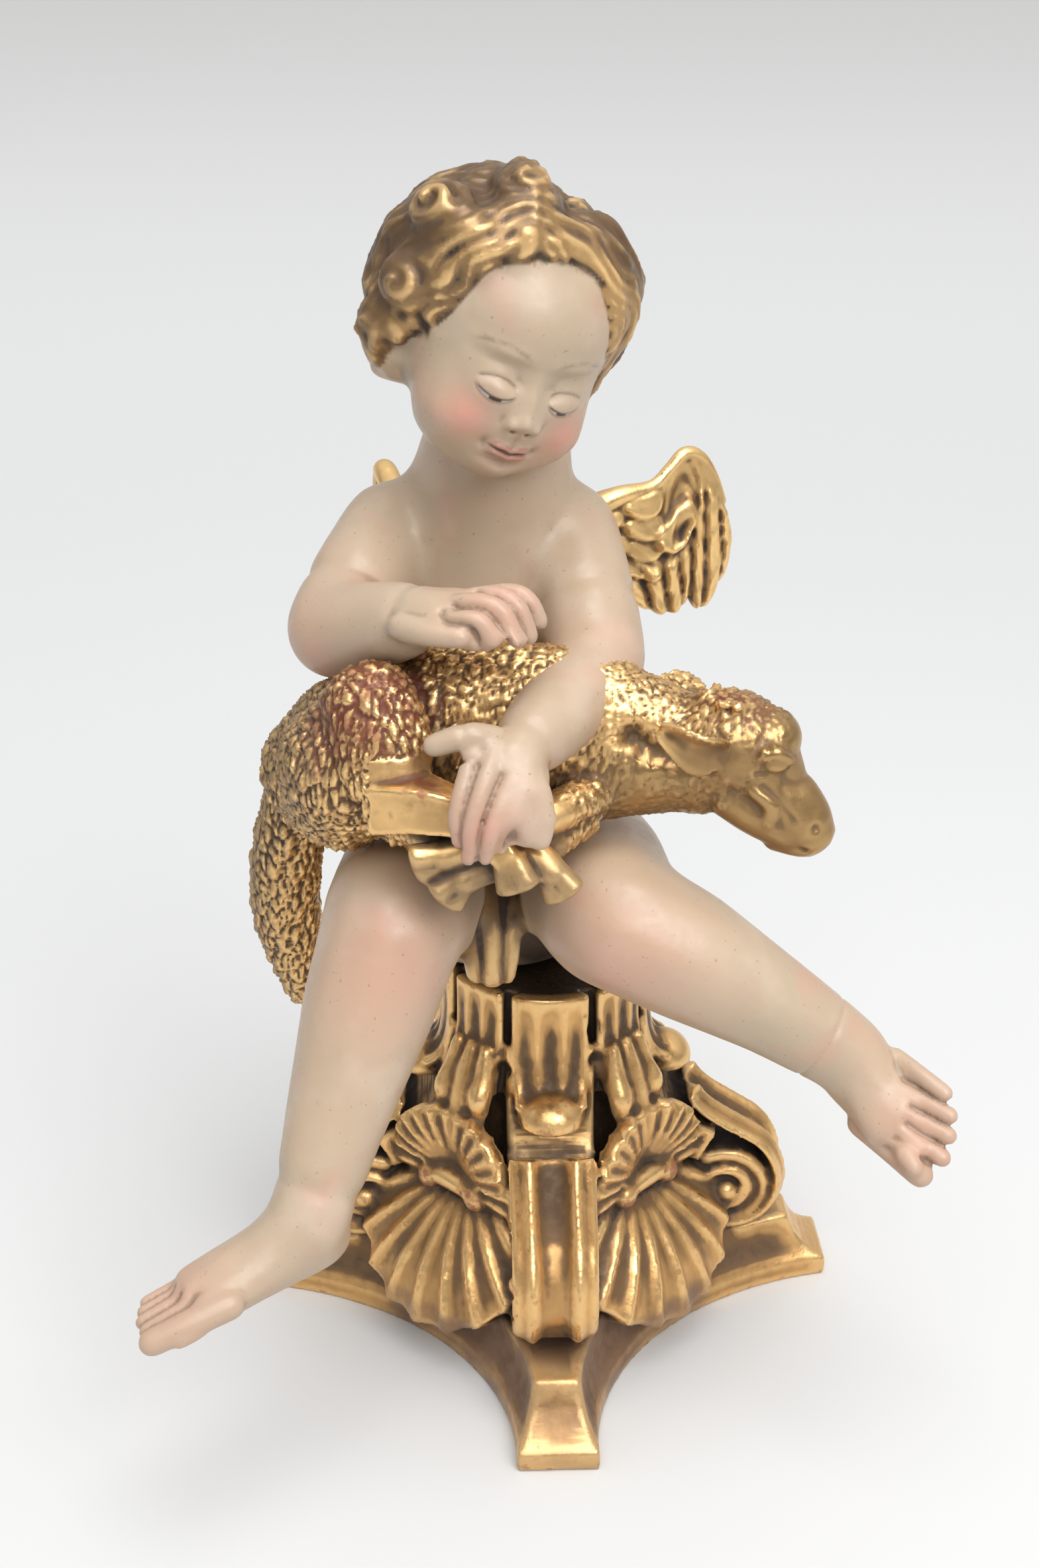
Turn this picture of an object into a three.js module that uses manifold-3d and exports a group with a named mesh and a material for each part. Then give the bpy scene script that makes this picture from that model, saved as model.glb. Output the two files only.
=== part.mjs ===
// A painted and gilded wooden angel holding a lamb, seated on an upturned capital.
// Millimetres, +Z up. The origin is the centre of the capital's underside and the angel faces -Y.
// Left and right are the angel's own: its left side lies towards +X.
import * as THREE from "three";
import { mergeVertices } from "three/addons/utils/BufferGeometryUtils.js";
import Module from "manifold-3d";

const wasm = await Module();
wasm.setup();

// Driving dimensions of the capital
const FIT_GAP = 0.4; // clearance between two carved pieces that touch
const CAPITAL_HEIGHT = 222;
const CAPITAL_TURN = 2; // degrees that its corners are turned off the axes
const NECK_RADIUS = 59;
const ABACUS_HEIGHT = 40;
const ABACUS_FOOT = { reach: 170, hornWidth: 44, waist: 89 };
const ABACUS_TOP = { reach: 146, hornWidth: 24, waist: 78 };
const ABACUS_SWEEP = 18; // how far the two side horns are carved back from square
const VOLUTE = { eyeRadius: 105, eyeHeight: 72, coil: 36, turns: 1.5, band: 9, width: 46, eyeWidth: 36 };
const CORNER_LEAF = { width: 52, thickness: 9, flutes: 2 };
const FACE_LEAF = { width: 46, thickness: 8, flutes: 1 };
const SHELL = { length: 97, spread: 66, ribs: 5, thickness: 50, bulge: 13 }; // backs sunk in the bell

// Driving dimensions of the angel: where its joints are, and the half-thickness of the flesh there.
// The figure and its lamb are laid out about their own axis and then shifted along X on the seat.
const SEAT_SHIFT = 7;
const JOINT = {
  pelvis: [-34, 10, 262],
  chest: [-41, 2, 440],
  neck: [-35, -6, 500],
  head: [-30, -36, 577],
  rightShoulder: [-85, -4, 470],
  rightElbow: [-116, -66, 431],
  rightWrist: [-64, -112, 456],
  leftShoulder: [2, 4, 468],
  leftElbow: [19, -64, 414],
  leftWrist: [-24, -145, 398],
  rightHip: [-68, 4, 274],
  rightKnee: [-84, -116, 298],
  rightAnkle: [-127, -182, 164],
  leftHip: [8, 4, 276],
  leftKnee: [25, -116, 300],
  leftAnkle: [145, -132, 230],
};
const GIRTH = { shoulder: 27, elbow: 24, wrist: 15, hip: 45, knee: 37, calf: 32, ankle: 21 };
const HEAD_TURN = { yaw: 18, pitch: 18, roll: 18 }; // degrees to its left, down, sideways
const HAIR = { width: 53, depth: 55, height: 46, rise: 13, back: 7, lock: 14 };
const FACE_WINDOW = { elevation: -8, halfAngle: 50, sink: 9 }; // where the hair leaves the face bare
const WING = { feathers: 6, coverts: 4, thickness: 8 };

const X_AXIS = new THREE.Vector3(1, 0, 0);
const vec = (point) => new THREE.Vector3(...point);
const radians = THREE.MathUtils.degToRad;
const mix = THREE.MathUtils.lerp;

// Solids and booleans

function toSolid(geometry) {
  const bare = geometry.clone();
  bare.deleteAttribute("normal");
  bare.deleteAttribute("uv");
  const merged = mergeVertices(bare, 1e-3);
  const build = (triVerts) =>
    new wasm.Manifold(
      new wasm.Mesh({ numProp: 3, vertProperties: merged.attributes.position.array, triVerts }),
    );
  const triangles = new Uint32Array(merged.index.array);
  const solid = build(triangles);
  return solid.volume() > 0 ? solid : build(triangles.slice().reverse());
}

function fuse(geometries) {
  const solids = geometries.map(toSolid);
  return solids.reduce((whole, piece) => whole.add(piece));
}

function toGeometry(solid) {
  const { vertProperties, triVerts } = solid.getMesh();
  const geometry = new THREE.BufferGeometry();
  geometry.setAttribute("position", new THREE.BufferAttribute(vertProperties, 3));
  geometry.setIndex(new THREE.BufferAttribute(triVerts, 1));
  geometry.computeVertexNormals();
  return geometry;
}

// Carving forms

// Moves every vertex of a geometry to where place() puts it.
function reshape(geometry, place) {
  const position = geometry.attributes.position;
  for (let i = 0; i < position.count; i++) {
    const moved = place(new THREE.Vector3().fromBufferAttribute(position, i), i);
    position.setXYZ(i, moved.x, moved.y, moved.z);
  }
  return geometry;
}

// A rounded form along a smooth spine. Each girth is one radius, or [across, deep] for an oval section.
// Across is measured along the side direction. Relief adds to the radius at (along, around), both 0 to 1.
function limb(points, girths, options = {}) {
  const { sides = 8, steps = 1, side = X_AXIS, blunt = 0.75, capRing = true, grow = 0, relief } = options;
  const spine = new THREE.CatmullRomCurve3(points.map(vec));
  const ovals = girths.map((girth) => (Array.isArray(girth) ? girth : [girth, girth]));
  const ovalCurve = new THREE.CatmullRomCurve3(
    ovals.map(([across, deep]) => new THREE.Vector3(across + grow, deep + grow, 0)),
    false,
    "catmullrom",
  );
  const count = (points.length - 1) * steps;
  const rings = [];
  for (let i = 0; i <= count; i++) {
    const t = i / count;
    rings.push({ centre: spine.getPoint(t), along: spine.getTangent(t), oval: ovalCurve.getPoint(t), t });
  }
  const capAngles = capRing ? [48, 90] : [90];
  const cap = (ring, direction) =>
    capAngles.map((angle) => {
      const reach = Math.min(ring.oval.x, ring.oval.y) * blunt * Math.sin(radians(angle));
      return {
        ...ring,
        centre: ring.centre.clone().addScaledVector(ring.along, reach * direction),
        oval: ring.oval.clone().multiplyScalar(Math.cos(radians(angle))),
      };
    });
  const all = [...cap(rings[0], -1).reverse(), ...rings, ...cap(rings[count], 1)];
  const columns = sides + 1;
  return reshape(new THREE.SphereGeometry(1, sides, all.length - 1), (_, index) => {
    const ring = all[Math.floor(index / columns)];
    const around = (index % columns) / sides;
    const across = side.clone().addScaledVector(ring.along, -side.dot(ring.along)).normalize();
    const deep = ring.along.clone().cross(across);
    const swell = relief ? 1 + relief(ring.t, around % 1) / Math.max(ring.oval.x, 1) : 1;
    const angle = 2 * Math.PI * around;
    return ring.centre
      .clone()
      .addScaledVector(across, ring.oval.x * swell * Math.cos(angle))
      .addScaledVector(deep, ring.oval.y * swell * Math.sin(angle));
  });
}

// An egg of three half-sizes.
function egg(centre, [rx, ry, rz], { sides = 9, grow = 0 } = {}) {
  const geometry = new THREE.SphereGeometry(1, sides, Math.round(sides * 0.65)).rotateX(Math.PI / 2);
  return geometry.scale(rx + grow, ry + grow, rz + grow).translate(...centre);
}

// A thick sheet: place(u, v, w) gives the point at u across, v along and w through, each from 0 to 1.
function sheet(acrossCount, alongCount, place) {
  const block = new THREE.BoxGeometry(1, 1, 1, acrossCount, alongCount, 1);
  return reshape(block, (p) => place(p.x + 0.5, p.y + 0.5, p.z + 0.5));
}

// A point at a radius, a sideways offset and a height, seen from a compass angle round the Z axis.
function around(angle, radius, sideways, height) {
  const a = radians(angle);
  return new THREE.Vector3(
    radius * Math.cos(a) - sideways * Math.sin(a),
    radius * Math.sin(a) + sideways * Math.cos(a),
    height,
  );
}

// The capital

// A quarter of the abacus's outline: half a horn's cut end, then the hollow side up to the next horn.
function abacusQuarter({ reach, hornWidth, waist }, sidePoints) {
  const half = hornWidth / 2;
  const far = (reach ** 2 + half ** 2 - waist ** 2) / (Math.SQRT2 * (reach + half) - 2 * waist);
  const hollow = far - waist;
  const centre = far / Math.SQRT2;
  const start = Math.atan2(half - centre, reach - centre);
  const end = -1.5 * Math.PI - start; // the arc is even about the diagonal
  const points = [new THREE.Vector2(reach, 0)];
  for (let i = 0; i <= sidePoints; i++) {
    const a = mix(start, end, i / sidePoints);
    points.push(new THREE.Vector2(centre + hollow * Math.cos(a), centre + hollow * Math.sin(a)));
  }
  return points;
}

function abacus() {
  const foot = abacusQuarter(ABACUS_FOOT, 4);
  const top = abacusQuarter(ABACUS_TOP, 4);
  const columns = 4 * foot.length;
  const hollowing = [0, 0, 0.7, 1]; // how far each level has drawn in from the foot to the top
  const levels = [0, 0.25, 0.6, 1];
  const rows = levels.length - 1;
  const geometry = new THREE.CylinderGeometry(1, 1, 1, columns, rows);
  return reshape(geometry, (p) => {
    const turn = Math.round((Math.atan2(p.x, p.z) / (2 * Math.PI)) * columns);
    const column = (turn + columns) % columns;
    const level = Math.round((p.y + 0.5) * rows);
    const rim = Math.round(Math.hypot(p.x, p.z));
    const edge = foot[column % foot.length].clone().lerp(top[column % foot.length], hollowing[level]);
    const quarterTurn = 90 * Math.floor(column / foot.length);
    const point = around(quarterTurn, edge.x * rim, edge.y * rim, levels[level] * ABACUS_HEIGHT);
    point.y += ABACUS_SWEEP * (point.x / ABACUS_FOOT.reach) ** 2;
    return point;
  });
}

function bell() {
  const profile = [
    [0, ABACUS_HEIGHT - 4],
    [70, ABACUS_HEIGHT - 4],
    [53, 110],
    [NECK_RADIUS - 3, CAPITAL_HEIGHT],
    [0, CAPITAL_HEIGHT],
  ].map(([radius, height]) => new THREE.Vector2(radius, height));
  return new THREE.LatheGeometry(profile, 12).rotateX(Math.PI / 2);
}

// The line that a corner scroll's band follows in its own upright plane, as (radius, height).
function scrollLine(t) {
  const { eyeRadius, eyeHeight, coil, turns } = VOLUTE;
  const stemShare = 0.22;
  const startAngle = 62;
  const coilPoint = (share) => {
    const angle = radians(startAngle - 360 * turns * share);
    const size = coil * (1 - 0.68 * share) * (1 + 0.22 * Math.exp(-9 * share));
    return new THREE.Vector2(eyeRadius + size * Math.cos(angle), eyeHeight + size * Math.sin(angle));
  };
  if (t >= stemShare) return coilPoint((t - stemShare) / (1 - stemShare));
  const joint = coilPoint(0);
  const stem = new THREE.CubicBezierCurve(
    new THREE.Vector2(50, 124),
    new THREE.Vector2(72, 118),
    new THREE.Vector2(joint.x - 22, joint.y + 16),
    joint,
  );
  return stem.getPoint(t / stemShare);
}

// A band with two raised rims and a middle rib, wound into a scroll.
function volute(angle) {
  const section = [
    [-0.5, 0],
    [-0.5, 1],
    [-0.22, 0.6],
    [0, 1],
    [0.22, 0.6],
    [0.5, 1],
    [0.5, 0],
  ];
  const steps = 12;
  const columns = section.length;
  const geometry = new THREE.CylinderGeometry(1, 1, 1, columns, steps);
  return reshape(geometry, (p) => {
    const t = 0.5 - p.y;
    const turn = Math.round((Math.atan2(p.x, p.z) / (2 * Math.PI)) * columns);
    const [across, out] = section[(turn + columns) % columns];
    const here = scrollLine(t);
    const next = scrollLine(Math.min(t + 0.01, 1));
    const last = scrollLine(Math.max(t - 0.01, 0));
    const outward = new THREE.Vector2(last.y - next.y, next.x - last.x).normalize();
    const rim = Math.round(Math.hypot(p.x, p.z));
    const thickness = VOLUTE.band * mix(1, 0.6, t) * (rim ? out : 0.5);
    const width = mix(VOLUTE.width, VOLUTE.eyeWidth, t) * across * rim;
    return around(
      angle,
      here.x + outward.x * (thickness - VOLUTE.band),
      width,
      here.y + outward.y * (thickness - VOLUTE.band),
    );
  });
}

// The plain cheek behind a scroll's coils.
function voluteHub(angle) {
  const radius = VOLUTE.coil - 8;
  const geometry = new THREE.CylinderGeometry(radius, radius, VOLUTE.eyeWidth - 10, 7, 1);
  const centre = around(angle, VOLUTE.eyeRadius - 1, 0, VOLUTE.eyeHeight - 1);
  return geometry.rotateZ(radians(angle)).translate(...centre);
}

// A carved leaf that hugs the bell and rolls its tip outwards. Its line is in (radius, height).
function leaf(angle, line, shape, tipShare) {
  const rows = line.length - 2;
  const spine = new THREE.SplineCurve(line.map(([radius, height]) => new THREE.Vector2(radius, height)));
  return sheet(2 * shape.flutes, rows, (u, v, w) => {
    const at = spine.getPoint(v);
    const along = spine.getTangent(v);
    const tip = Math.max(0, (v - tipShare) / (1 - tipShare));
    const taper = Math.sqrt(Math.max(0.04, 1 - tip * tip));
    const lobes = 1 + 0.08 * Math.cos(v * 5 * Math.PI);
    const across = (u - 0.5) * shape.width * taper * lobes;
    const flute = 2.2 * Math.cos((u - 0.5) * 2 * Math.PI * shape.flutes) * (1 - 0.5 * v);
    const depth = w ? flute : -shape.thickness;
    const wrap = (across * across) / (2.6 * NECK_RADIUS);
    const hug = wrap * (1 - v * v);
    return around(angle, at.x - along.y * depth - hug, across, at.y + along.x * depth);
  });
}

function cornerLeaf(angle) {
  const line = [
    [NECK_RADIUS + 1, CAPITAL_HEIGHT],
    [NECK_RADIUS + 1, 196],
    [64, 177],
    [72, 169],
    [77, 159],
    [77, 147],
  ];
  return leaf(angle, line, CORNER_LEAF, 0.6);
}

function faceLeaf(angle) {
  const line = [
    [NECK_RADIUS, CAPITAL_HEIGHT],
    [NECK_RADIUS, 190],
    [60, 158],
    [66, 142],
    [76, 134],
  ];
  return leaf(angle, line, FACE_LEAF, 0.55);
}

// A ribbed fan that opens from a hinge and bulges off the bell. Its aim is [outward, sideways, up].
function fan(angle, hinge, aim, shape) {
  const toWorld = ([outward, sideways, up]) => around(angle, outward, sideways, up);
  const middle = toWorld(aim).normalize();
  const flat = toWorld([0, aim[2], -aim[1]]);
  const crosswise = (flat.lengthSq() > 0 ? flat : toWorld([0, 1, 0])).normalize();
  const face = new THREE.Vector3().crossVectors(crosswise, middle).normalize();
  if (face.dot(toWorld([1, 0, 0])) < 0) face.negate();
  const origin = toWorld(hinge);
  return sheet(2 * shape.ribs, 2, (u, v, w) => {
    const share = 2 * u - 1;
    const spread = radians(shape.spread) * share;
    const reach = shape.length * (0.1 + 0.9 * v) * (1 - 0.22 * share * share);
    const rib = 2.6 * v * -Math.cos(2 * Math.PI * shape.ribs * u);
    const swell = shape.bulge * Math.sin(Math.PI * v * 0.8) * (1 - share * share * 0.6);
    const lift = w ? swell + rib : swell - shape.thickness;
    return origin
      .clone()
      .addScaledVector(middle, reach * Math.cos(spread))
      .addScaledVector(crosswise, reach * Math.sin(spread))
      .addScaledVector(face, lift);
  });
}

function capital() {
  const pieces = [abacus(), bell()];
  for (let quarter = 0; quarter < 4; quarter++) {
    const corner = 90 * quarter;
    const face = corner + 45;
    pieces.push(volute(corner), voluteHub(corner), cornerLeaf(corner), faceLeaf(face));
    pieces.push(fan(face, [62, 0, 112], [42, 0, -92], SHELL));
  }
  return fuse(pieces);
}

// The angel

const headFrame = new THREE.Matrix4()
  .makeRotationFromEuler(
    new THREE.Euler(radians(HEAD_TURN.pitch), radians(HEAD_TURN.roll), radians(HEAD_TURN.yaw), "ZXY"),
  )
  .setPosition(...JOINT.head);

function between(a, b, share, shift = [0, 0, 0]) {
  return vec(a).lerp(vec(b), share).add(vec(shift)).toArray();
}

function torso(grow = 0) {
  const spine = [
    [-34, 10, 244],
    JOINT.pelvis,
    [-36, -4, 312],
    [-39, -6, 362],
    [-41, -2, 408],
    JOINT.chest,
    [-39, 0, 472],
    JOINT.neck,
    [-31, -16, 532],
  ];
  const low = [[60, 50], [66, 57], [61, 59], [57, 56]];
  const high = [[55, 48], [56, 44], [49, 41], [40, 39], [35, 36]];
  return limb(spine, [...low, ...high], { sides: 11, grow });
}

function arm(shoulder, elbow, wrist, grow = 0) {
  const { shoulder: top, elbow: bend, wrist: end } = GIRTH;
  const upper = limb([shoulder, between(shoulder, elbow, 0.55), elbow], [top, top, bend], { grow });
  const fore = limb(
    [elbow, between(elbow, wrist, 0.4), between(elbow, wrist, 0.75), wrist],
    [bend, bend - 1, 20, end],
    { grow },
  );
  return [upper, fore];
}

function thigh(hip, knee, grow = 0) {
  const middle = between(hip, knee, 0.5, [0, 0, 4]);
  return limb([hip, middle, knee], [GIRTH.hip, GIRTH.hip - 3, GIRTH.knee], { sides: 9, grow });
}

// The lower leg, bowed at the calf, down over the ankle to the instep.
function shin(knee, ankle, instep, bow) {
  const calf = between(knee, ankle, 0.3, bow);
  const lower = between(knee, ankle, 0.68, bow);
  const girths = [GIRTH.knee - 1, GIRTH.calf + 2, GIRTH.calf - 6, GIRTH.ankle, GIRTH.ankle - 5];
  return limb([knee, calf, lower, ankle, instep], girths);
}

// Fingers or toes side by side: the first tip and root, the step to the next, and each one's length.
function digits({ root, step, aim, lengths, girth, drop }) {
  return lengths.map((length, i) => {
    const start = vec(root).addScaledVector(vec(step), i);
    const reach = vec(aim).normalize().multiplyScalar(length);
    const tip = start.clone().add(reach).add(vec(drop));
    const knuckle = start.clone().addScaledVector(reach, 0.5);
    const points = [start, knuckle, tip].map((point) => point.toArray());
    return limb(points, [girth, girth * 0.95, girth * 0.8], { sides: 5, capRing: false });
  });
}

function rightHand() {
  const side = new THREE.Vector3(0, 1, 0.2);
  const spine = [JOINT.rightWrist, [-51, -117, 458], [-40, -121, 457]];
  const palm = limb(spine, [[15, 14], [18, 12], [17, 10]], { side });
  const fingers = digits({
    root: [-40, -134, 458],
    step: [1.5, 8, 0.5],
    aim: [24, -5, -3],
    lengths: [20, 23, 23, 19],
    girth: 4.3,
    drop: [0, -2, -6],
  });
  const thumb = limb([[-60, -124, 455], [-49, -131, 452], [-36, -136, 450]], [8, 7, 6], { sides: 5 });
  return [palm, ...fingers, thumb];
}

function leftHand() {
  const spine = [JOINT.leftWrist, [-30, -157, 388], [-35, -164, 378]];
  const palm = limb(spine, [[17, 15], [20, 12], [20, 10]]);
  const fingers = digits({
    root: [-48, -166, 378],
    step: [9, 0, 0],
    aim: [1, -2, -26],
    lengths: [20, 23, 22, 17],
    girth: 4.6,
    drop: [0, 4, 0],
  });
  const thumb = limb([[-14, -158, 388], [-10, -162, 374], [-12, -164, 362]], [8, 7, 6], { sides: 5 });
  return [palm, ...fingers, thumb];
}

function foot({ heel, middle, ball, across, toes }) {
  const side = vec(across).normalize();
  const sole = limb([heel, middle, ball], [[17, 17], [20, 17], [22, 12]], { side });
  return [sole, ...toes];
}

// Five toes fanned from the little one to the big one.
function toeRow(first, last, aim) {
  const girths = [4, 4.2, 4.4, 4.6, 6.4];
  return girths.map((girth, i) => {
    const root = between(first, last, [0, 0.24, 0.49, 0.75, 1.08][i]);
    const tip = vec(root).addScaledVector(vec(aim).normalize(), 8 + girth);
    return limb([root, tip.toArray()], [girth, girth * 0.95], { sides: 5, capRing: false });
  });
}

function feet() {
  const right = foot({
    heel: [-118, -170, 152],
    middle: [-148, -192, 151],
    ball: [-179, -211, 142],
    across: [0.5, -0.85, 0],
    toes: toeRow([-188, -198, 136], [-174, -226, 139], [-20, -10, -7]),
  });
  const left = foot({
    heel: [145, -120, 217],
    middle: [158, -142, 215],
    ball: [167, -155, 209],
    across: [0.7, 0.35, 0.62],
    toes: toeRow([180, -150, 219], [166, -167, 201], [9, -14, -8]),
  });
  return [...right, ...left];
}

// The masses of the head in its own frame: centre and half-sizes. Those off the middle have a twin.
const HEAD_MASSES = [
  [[0, 6, 8], [52, 57, 53]],
  [[0, -16, 14], [45, 41, 37]],
  [[0, -20, -16], [45, 39, 42]],
  [[0, -24, -40], [38, 31, 21]],
  [[0, -43, -49], [13, 12, 10]],
  [[0, -51, -37], [14, 8, 8]],
  [[0, -55, -20], [9, 12, 9]],
  [[0, -50, -8], [6, 9, 12]],
  [[24, -36, -29], [20, 18, 19]],
  [[18, -45, -5], [11, 9, 8]],
];

// How far a ray from inside the head travels before it leaves one of its masses.
function reachOf(origin, direction, [centre, radii]) {
  const scale = vec(radii);
  const from = origin.clone().sub(vec(centre)).divide(scale);
  const along = direction.clone().divide(scale);
  const a = along.lengthSq();
  const b = from.dot(along);
  const inside = b * b - a * (from.lengthSq() - 1);
  return inside > 0 ? (Math.sqrt(inside) - b) / a : 0;
}

// One skin over all the masses, with soft hollows where they meet. Its net is finer at the face.
function head() {
  const softness = 2.5;
  const origin = new THREE.Vector3(0, -8, -2);
  const twins = HEAD_MASSES.filter(([centre]) => centre[0] > 0);
  const mirrored = twins.map(([[x, y, z], radii]) => [[-x, y, z], radii]);
  const masses = [...HEAD_MASSES, ...mirrored];
  const skin = new THREE.SphereGeometry(1, 18, 13).rotateX(Math.PI / 2);
  reshape(skin, (p) => {
    const direction = p.add(new THREE.Vector3(0, -0.5, 0)).normalize();
    const reaches = masses.map((mass) => reachOf(origin, direction, mass));
    const sum = reaches.reduce((total, reach) => total + Math.exp(reach / softness), 0);
    return origin.clone().addScaledVector(direction, softness * Math.log(sum));
  });
  return skin.applyMatrix4(headFrame);
}

// Locks of hair as lines over the head: [azimuth, elevation, lift], in degrees from the brow and in mm.
function hairLocks() {
  const locks = [
    [[12, 46, 6], [-14, 44, 9], [-40, 36, 10], [-60, 14, 9], [-70, -4, 5]],
    [[20, 62, 7], [-16, 62, 14], [-46, 52, 15], [-70, 32, 12], [-82, 8, 8]],
    [[14, 48, 6], [34, 42, 9], [54, 28, 10], [66, 8, 9], [72, -10, 5]],
    [[24, 66, 7], [44, 60, 12], [66, 44, 13], [82, 18, 10], [88, -6, 6]],
    [[-10, 50, 10], [-42, 66, 23], [-84, 74, 26], [-130, 66, 14], [-150, 50, 5]],
    [[-44, 52, 9], [-60, 40, 23], [-82, 34, 26], [-102, 46, 12]],
    [[-72, 22, 8], [-88, 10, 18], [-110, 8, 16], [-118, 24, 7]],
    [[-76, -6, 9], [-86, -16, 20], [-106, -20, 18], [-120, -4, 8]],
    [[-74, -18, 12], [-78, -38, 30], [-90, -56, 34], [-116, -46, 18]],
    [[76, -4, 8], [80, -20, 14], [86, -36, 13], [94, -50, 6]],
  ];
  for (let i = 0; i < 6; i++) {
    const azimuth = 104 + 30 * i;
    locks.push([[azimuth - 14, 64, 6], [azimuth - 4, 42, 13], [azimuth + 8, 20, 14], [azimuth, 2, 8]]);
    locks.push([[azimuth, 14, 6], [azimuth + 10, -8, 13], [azimuth - 2, -30, 14], [azimuth + 8, -52, 8]]);
  }
  return locks;
}

function hairDirection([azimuth, elevation]) {
  const a = radians(azimuth);
  const e = radians(elevation);
  return new THREE.Vector3(Math.cos(e) * Math.sin(a), -Math.cos(e) * Math.cos(a), Math.sin(e));
}

// How far a lock stands up at a direction: highest along its line and rounded off to both sides.
function lockHeight(lock, direction) {
  const width = HAIR.lock / HAIR.width;
  let height = 0;
  for (let i = 1; i < lock.length; i++) {
    const line = new THREE.Line3(hairDirection(lock[i - 1]), hairDirection(lock[i]));
    const share = line.closestPointToPointParameter(direction, true);
    const away = line.at(share, new THREE.Vector3()).distanceTo(direction) / width;
    height = Math.max(height, mix(lock[i - 1][2], lock[i][2], share) * (1 - away * away));
  }
  return height;
}

// The hair is one skin on an egg round the skull, raised along its locks.
function hair() {
  const { elevation, halfAngle, sink } = FACE_WINDOW;
  const locks = hairLocks();
  const faceCentre = hairDirection([0, elevation]);
  const skin = new THREE.SphereGeometry(1, 22, 14).rotateX(Math.PI / 2);
  return reshape(skin, (direction) => {
    const height = Math.max(...locks.map((lock) => lockHeight(lock, direction)));
    const fromFace = THREE.MathUtils.radToDeg(direction.angleTo(faceCentre));
    const bare = 1 - THREE.MathUtils.smoothstep(fromFace, halfAngle - 10, halfAngle);
    const swell = 1 + mix(height, -sink, bare) / HAIR.width;
    return new THREE.Vector3(
      HAIR.width * swell * direction.x,
      HAIR.back + HAIR.depth * swell * direction.y,
      HAIR.rise + HAIR.height * swell * direction.z,
    );
  }).applyMatrix4(headFrame);
}

// The end of a loincloth that hangs between the thighs.
function clothEnd() {
  const points = [[-34, -48, 306], [-35, -74, 278], [-37, -70, 237]];
  return limb(points, [[22, 10], [18, 9], [16, 8]], { sides: 8, capRing: false, blunt: 0.3 });
}

// The flesh that the lamb lies against, grown by the fit's clearance when it is a cutter.
function fleshNearLamb(grow) {
  const rightArm = arm(JOINT.rightShoulder, JOINT.rightElbow, JOINT.rightWrist, grow);
  const leftArm = arm(JOINT.leftShoulder, JOINT.leftElbow, JOINT.leftWrist, grow);
  const rightThigh = thigh(JOINT.rightHip, JOINT.rightKnee, grow);
  const leftThigh = thigh(JOINT.leftHip, JOINT.leftKnee, grow);
  return [torso(grow), ...rightArm, ...leftArm, rightThigh, leftThigh];
}

function angel() {
  const whole = fuse([
    ...fleshNearLamb(0),
    shin(JOINT.rightKnee, JOINT.rightAnkle, [-146, -192, 154], [0, 5, 0]),
    shin(JOINT.leftKnee, JOINT.leftAnkle, [158, -142, 216], [0, 0, 3]),
    ...rightHand(),
    ...leftHand(),
    ...feet(),
    head(),
    hair(),
    clothEnd(),
  ]);
  const seatCut = new THREE.BoxGeometry(2 * NECK_RADIUS + 60, 2 * NECK_RADIUS + 40, 60);
  seatCut.translate(-20, 0, CAPITAL_HEIGHT + FIT_GAP - 30);
  return whole.subtract(toSolid(seatCut));
}

// The lamb

// Tufts of wool: every other crossing of a form's net stands up.
function fleece(rows, columns, height) {
  const wave = (count, share) => Math.cos(2 * Math.PI * count * share);
  return (along, around) => height * wave(rows, along) * wave(columns, around);
}

function lambBody() {
  const body = limb(
    [[-126, -62, 356], [-96, -78, 374], [-44, -88, 387], [8, -88, 385], [40, -90, 381], [64, -94, 377]],
    [[31, 30], [43, 32], [47, 27], [45, 27], [36, 27], [28, 24]],
    { sides: 10, steps: 2, side: new THREE.Vector3(0, 0, 1), relief: fleece(5, 5, 3) },
  );
  const haunch = limb(
    [[-112, -90, 350], [-102, -102, 374], [-92, -108, 400]],
    [[28, 24], [38, 31], [27, 21]],
    { steps: 3, relief: fleece(3, 4, 2.5) },
  );
  const tail = limb(
    [[-134, -40, 340], [-146, -30, 296], [-148, -24, 252], [-140, -20, 208]],
    [18, 18, 17, 11],
    { sides: 6, steps: 2, relief: fleece(3, 3, 2) },
  );
  return [body, haunch, tail];
}

function lambHead() {
  const side = new THREE.Vector3(0, 1, 0);
  const skull = limb(
    [[60, -94, 376], [84, -100, 385], [102, -104, 366], [115, -108, 350], [119, -109, 344]],
    [[23, 30], [25, 28], [20, 26], [15, 18], [12, 13]],
    { side, sides: 9 },
  );
  const ears = [-1, 1].map((hand) => {
    const root = [84, -102 + 19 * hand, 391];
    const tip = [45, -105 + 27 * hand, 404];
    const middle = between(root, tip, 0.5, [0, 4 * hand, 2]);
    return limb([root, middle, tip], [[5, 7], [5, 11], [3, 5]], { side, sides: 5, capRing: false });
  });
  return [skull, egg([80, -100, 401], [19, 19, 13], { sides: 7 }), ...ears];
}

// A leg from the body to the tip of its hoof, which flares.
function lambLeg(points) {
  const girths = points.map((_, i) => [11, 8, 8, 9.5][i]);
  return limb(points, girths, { sides: 5, capRing: false, blunt: 0.3 });
}

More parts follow.
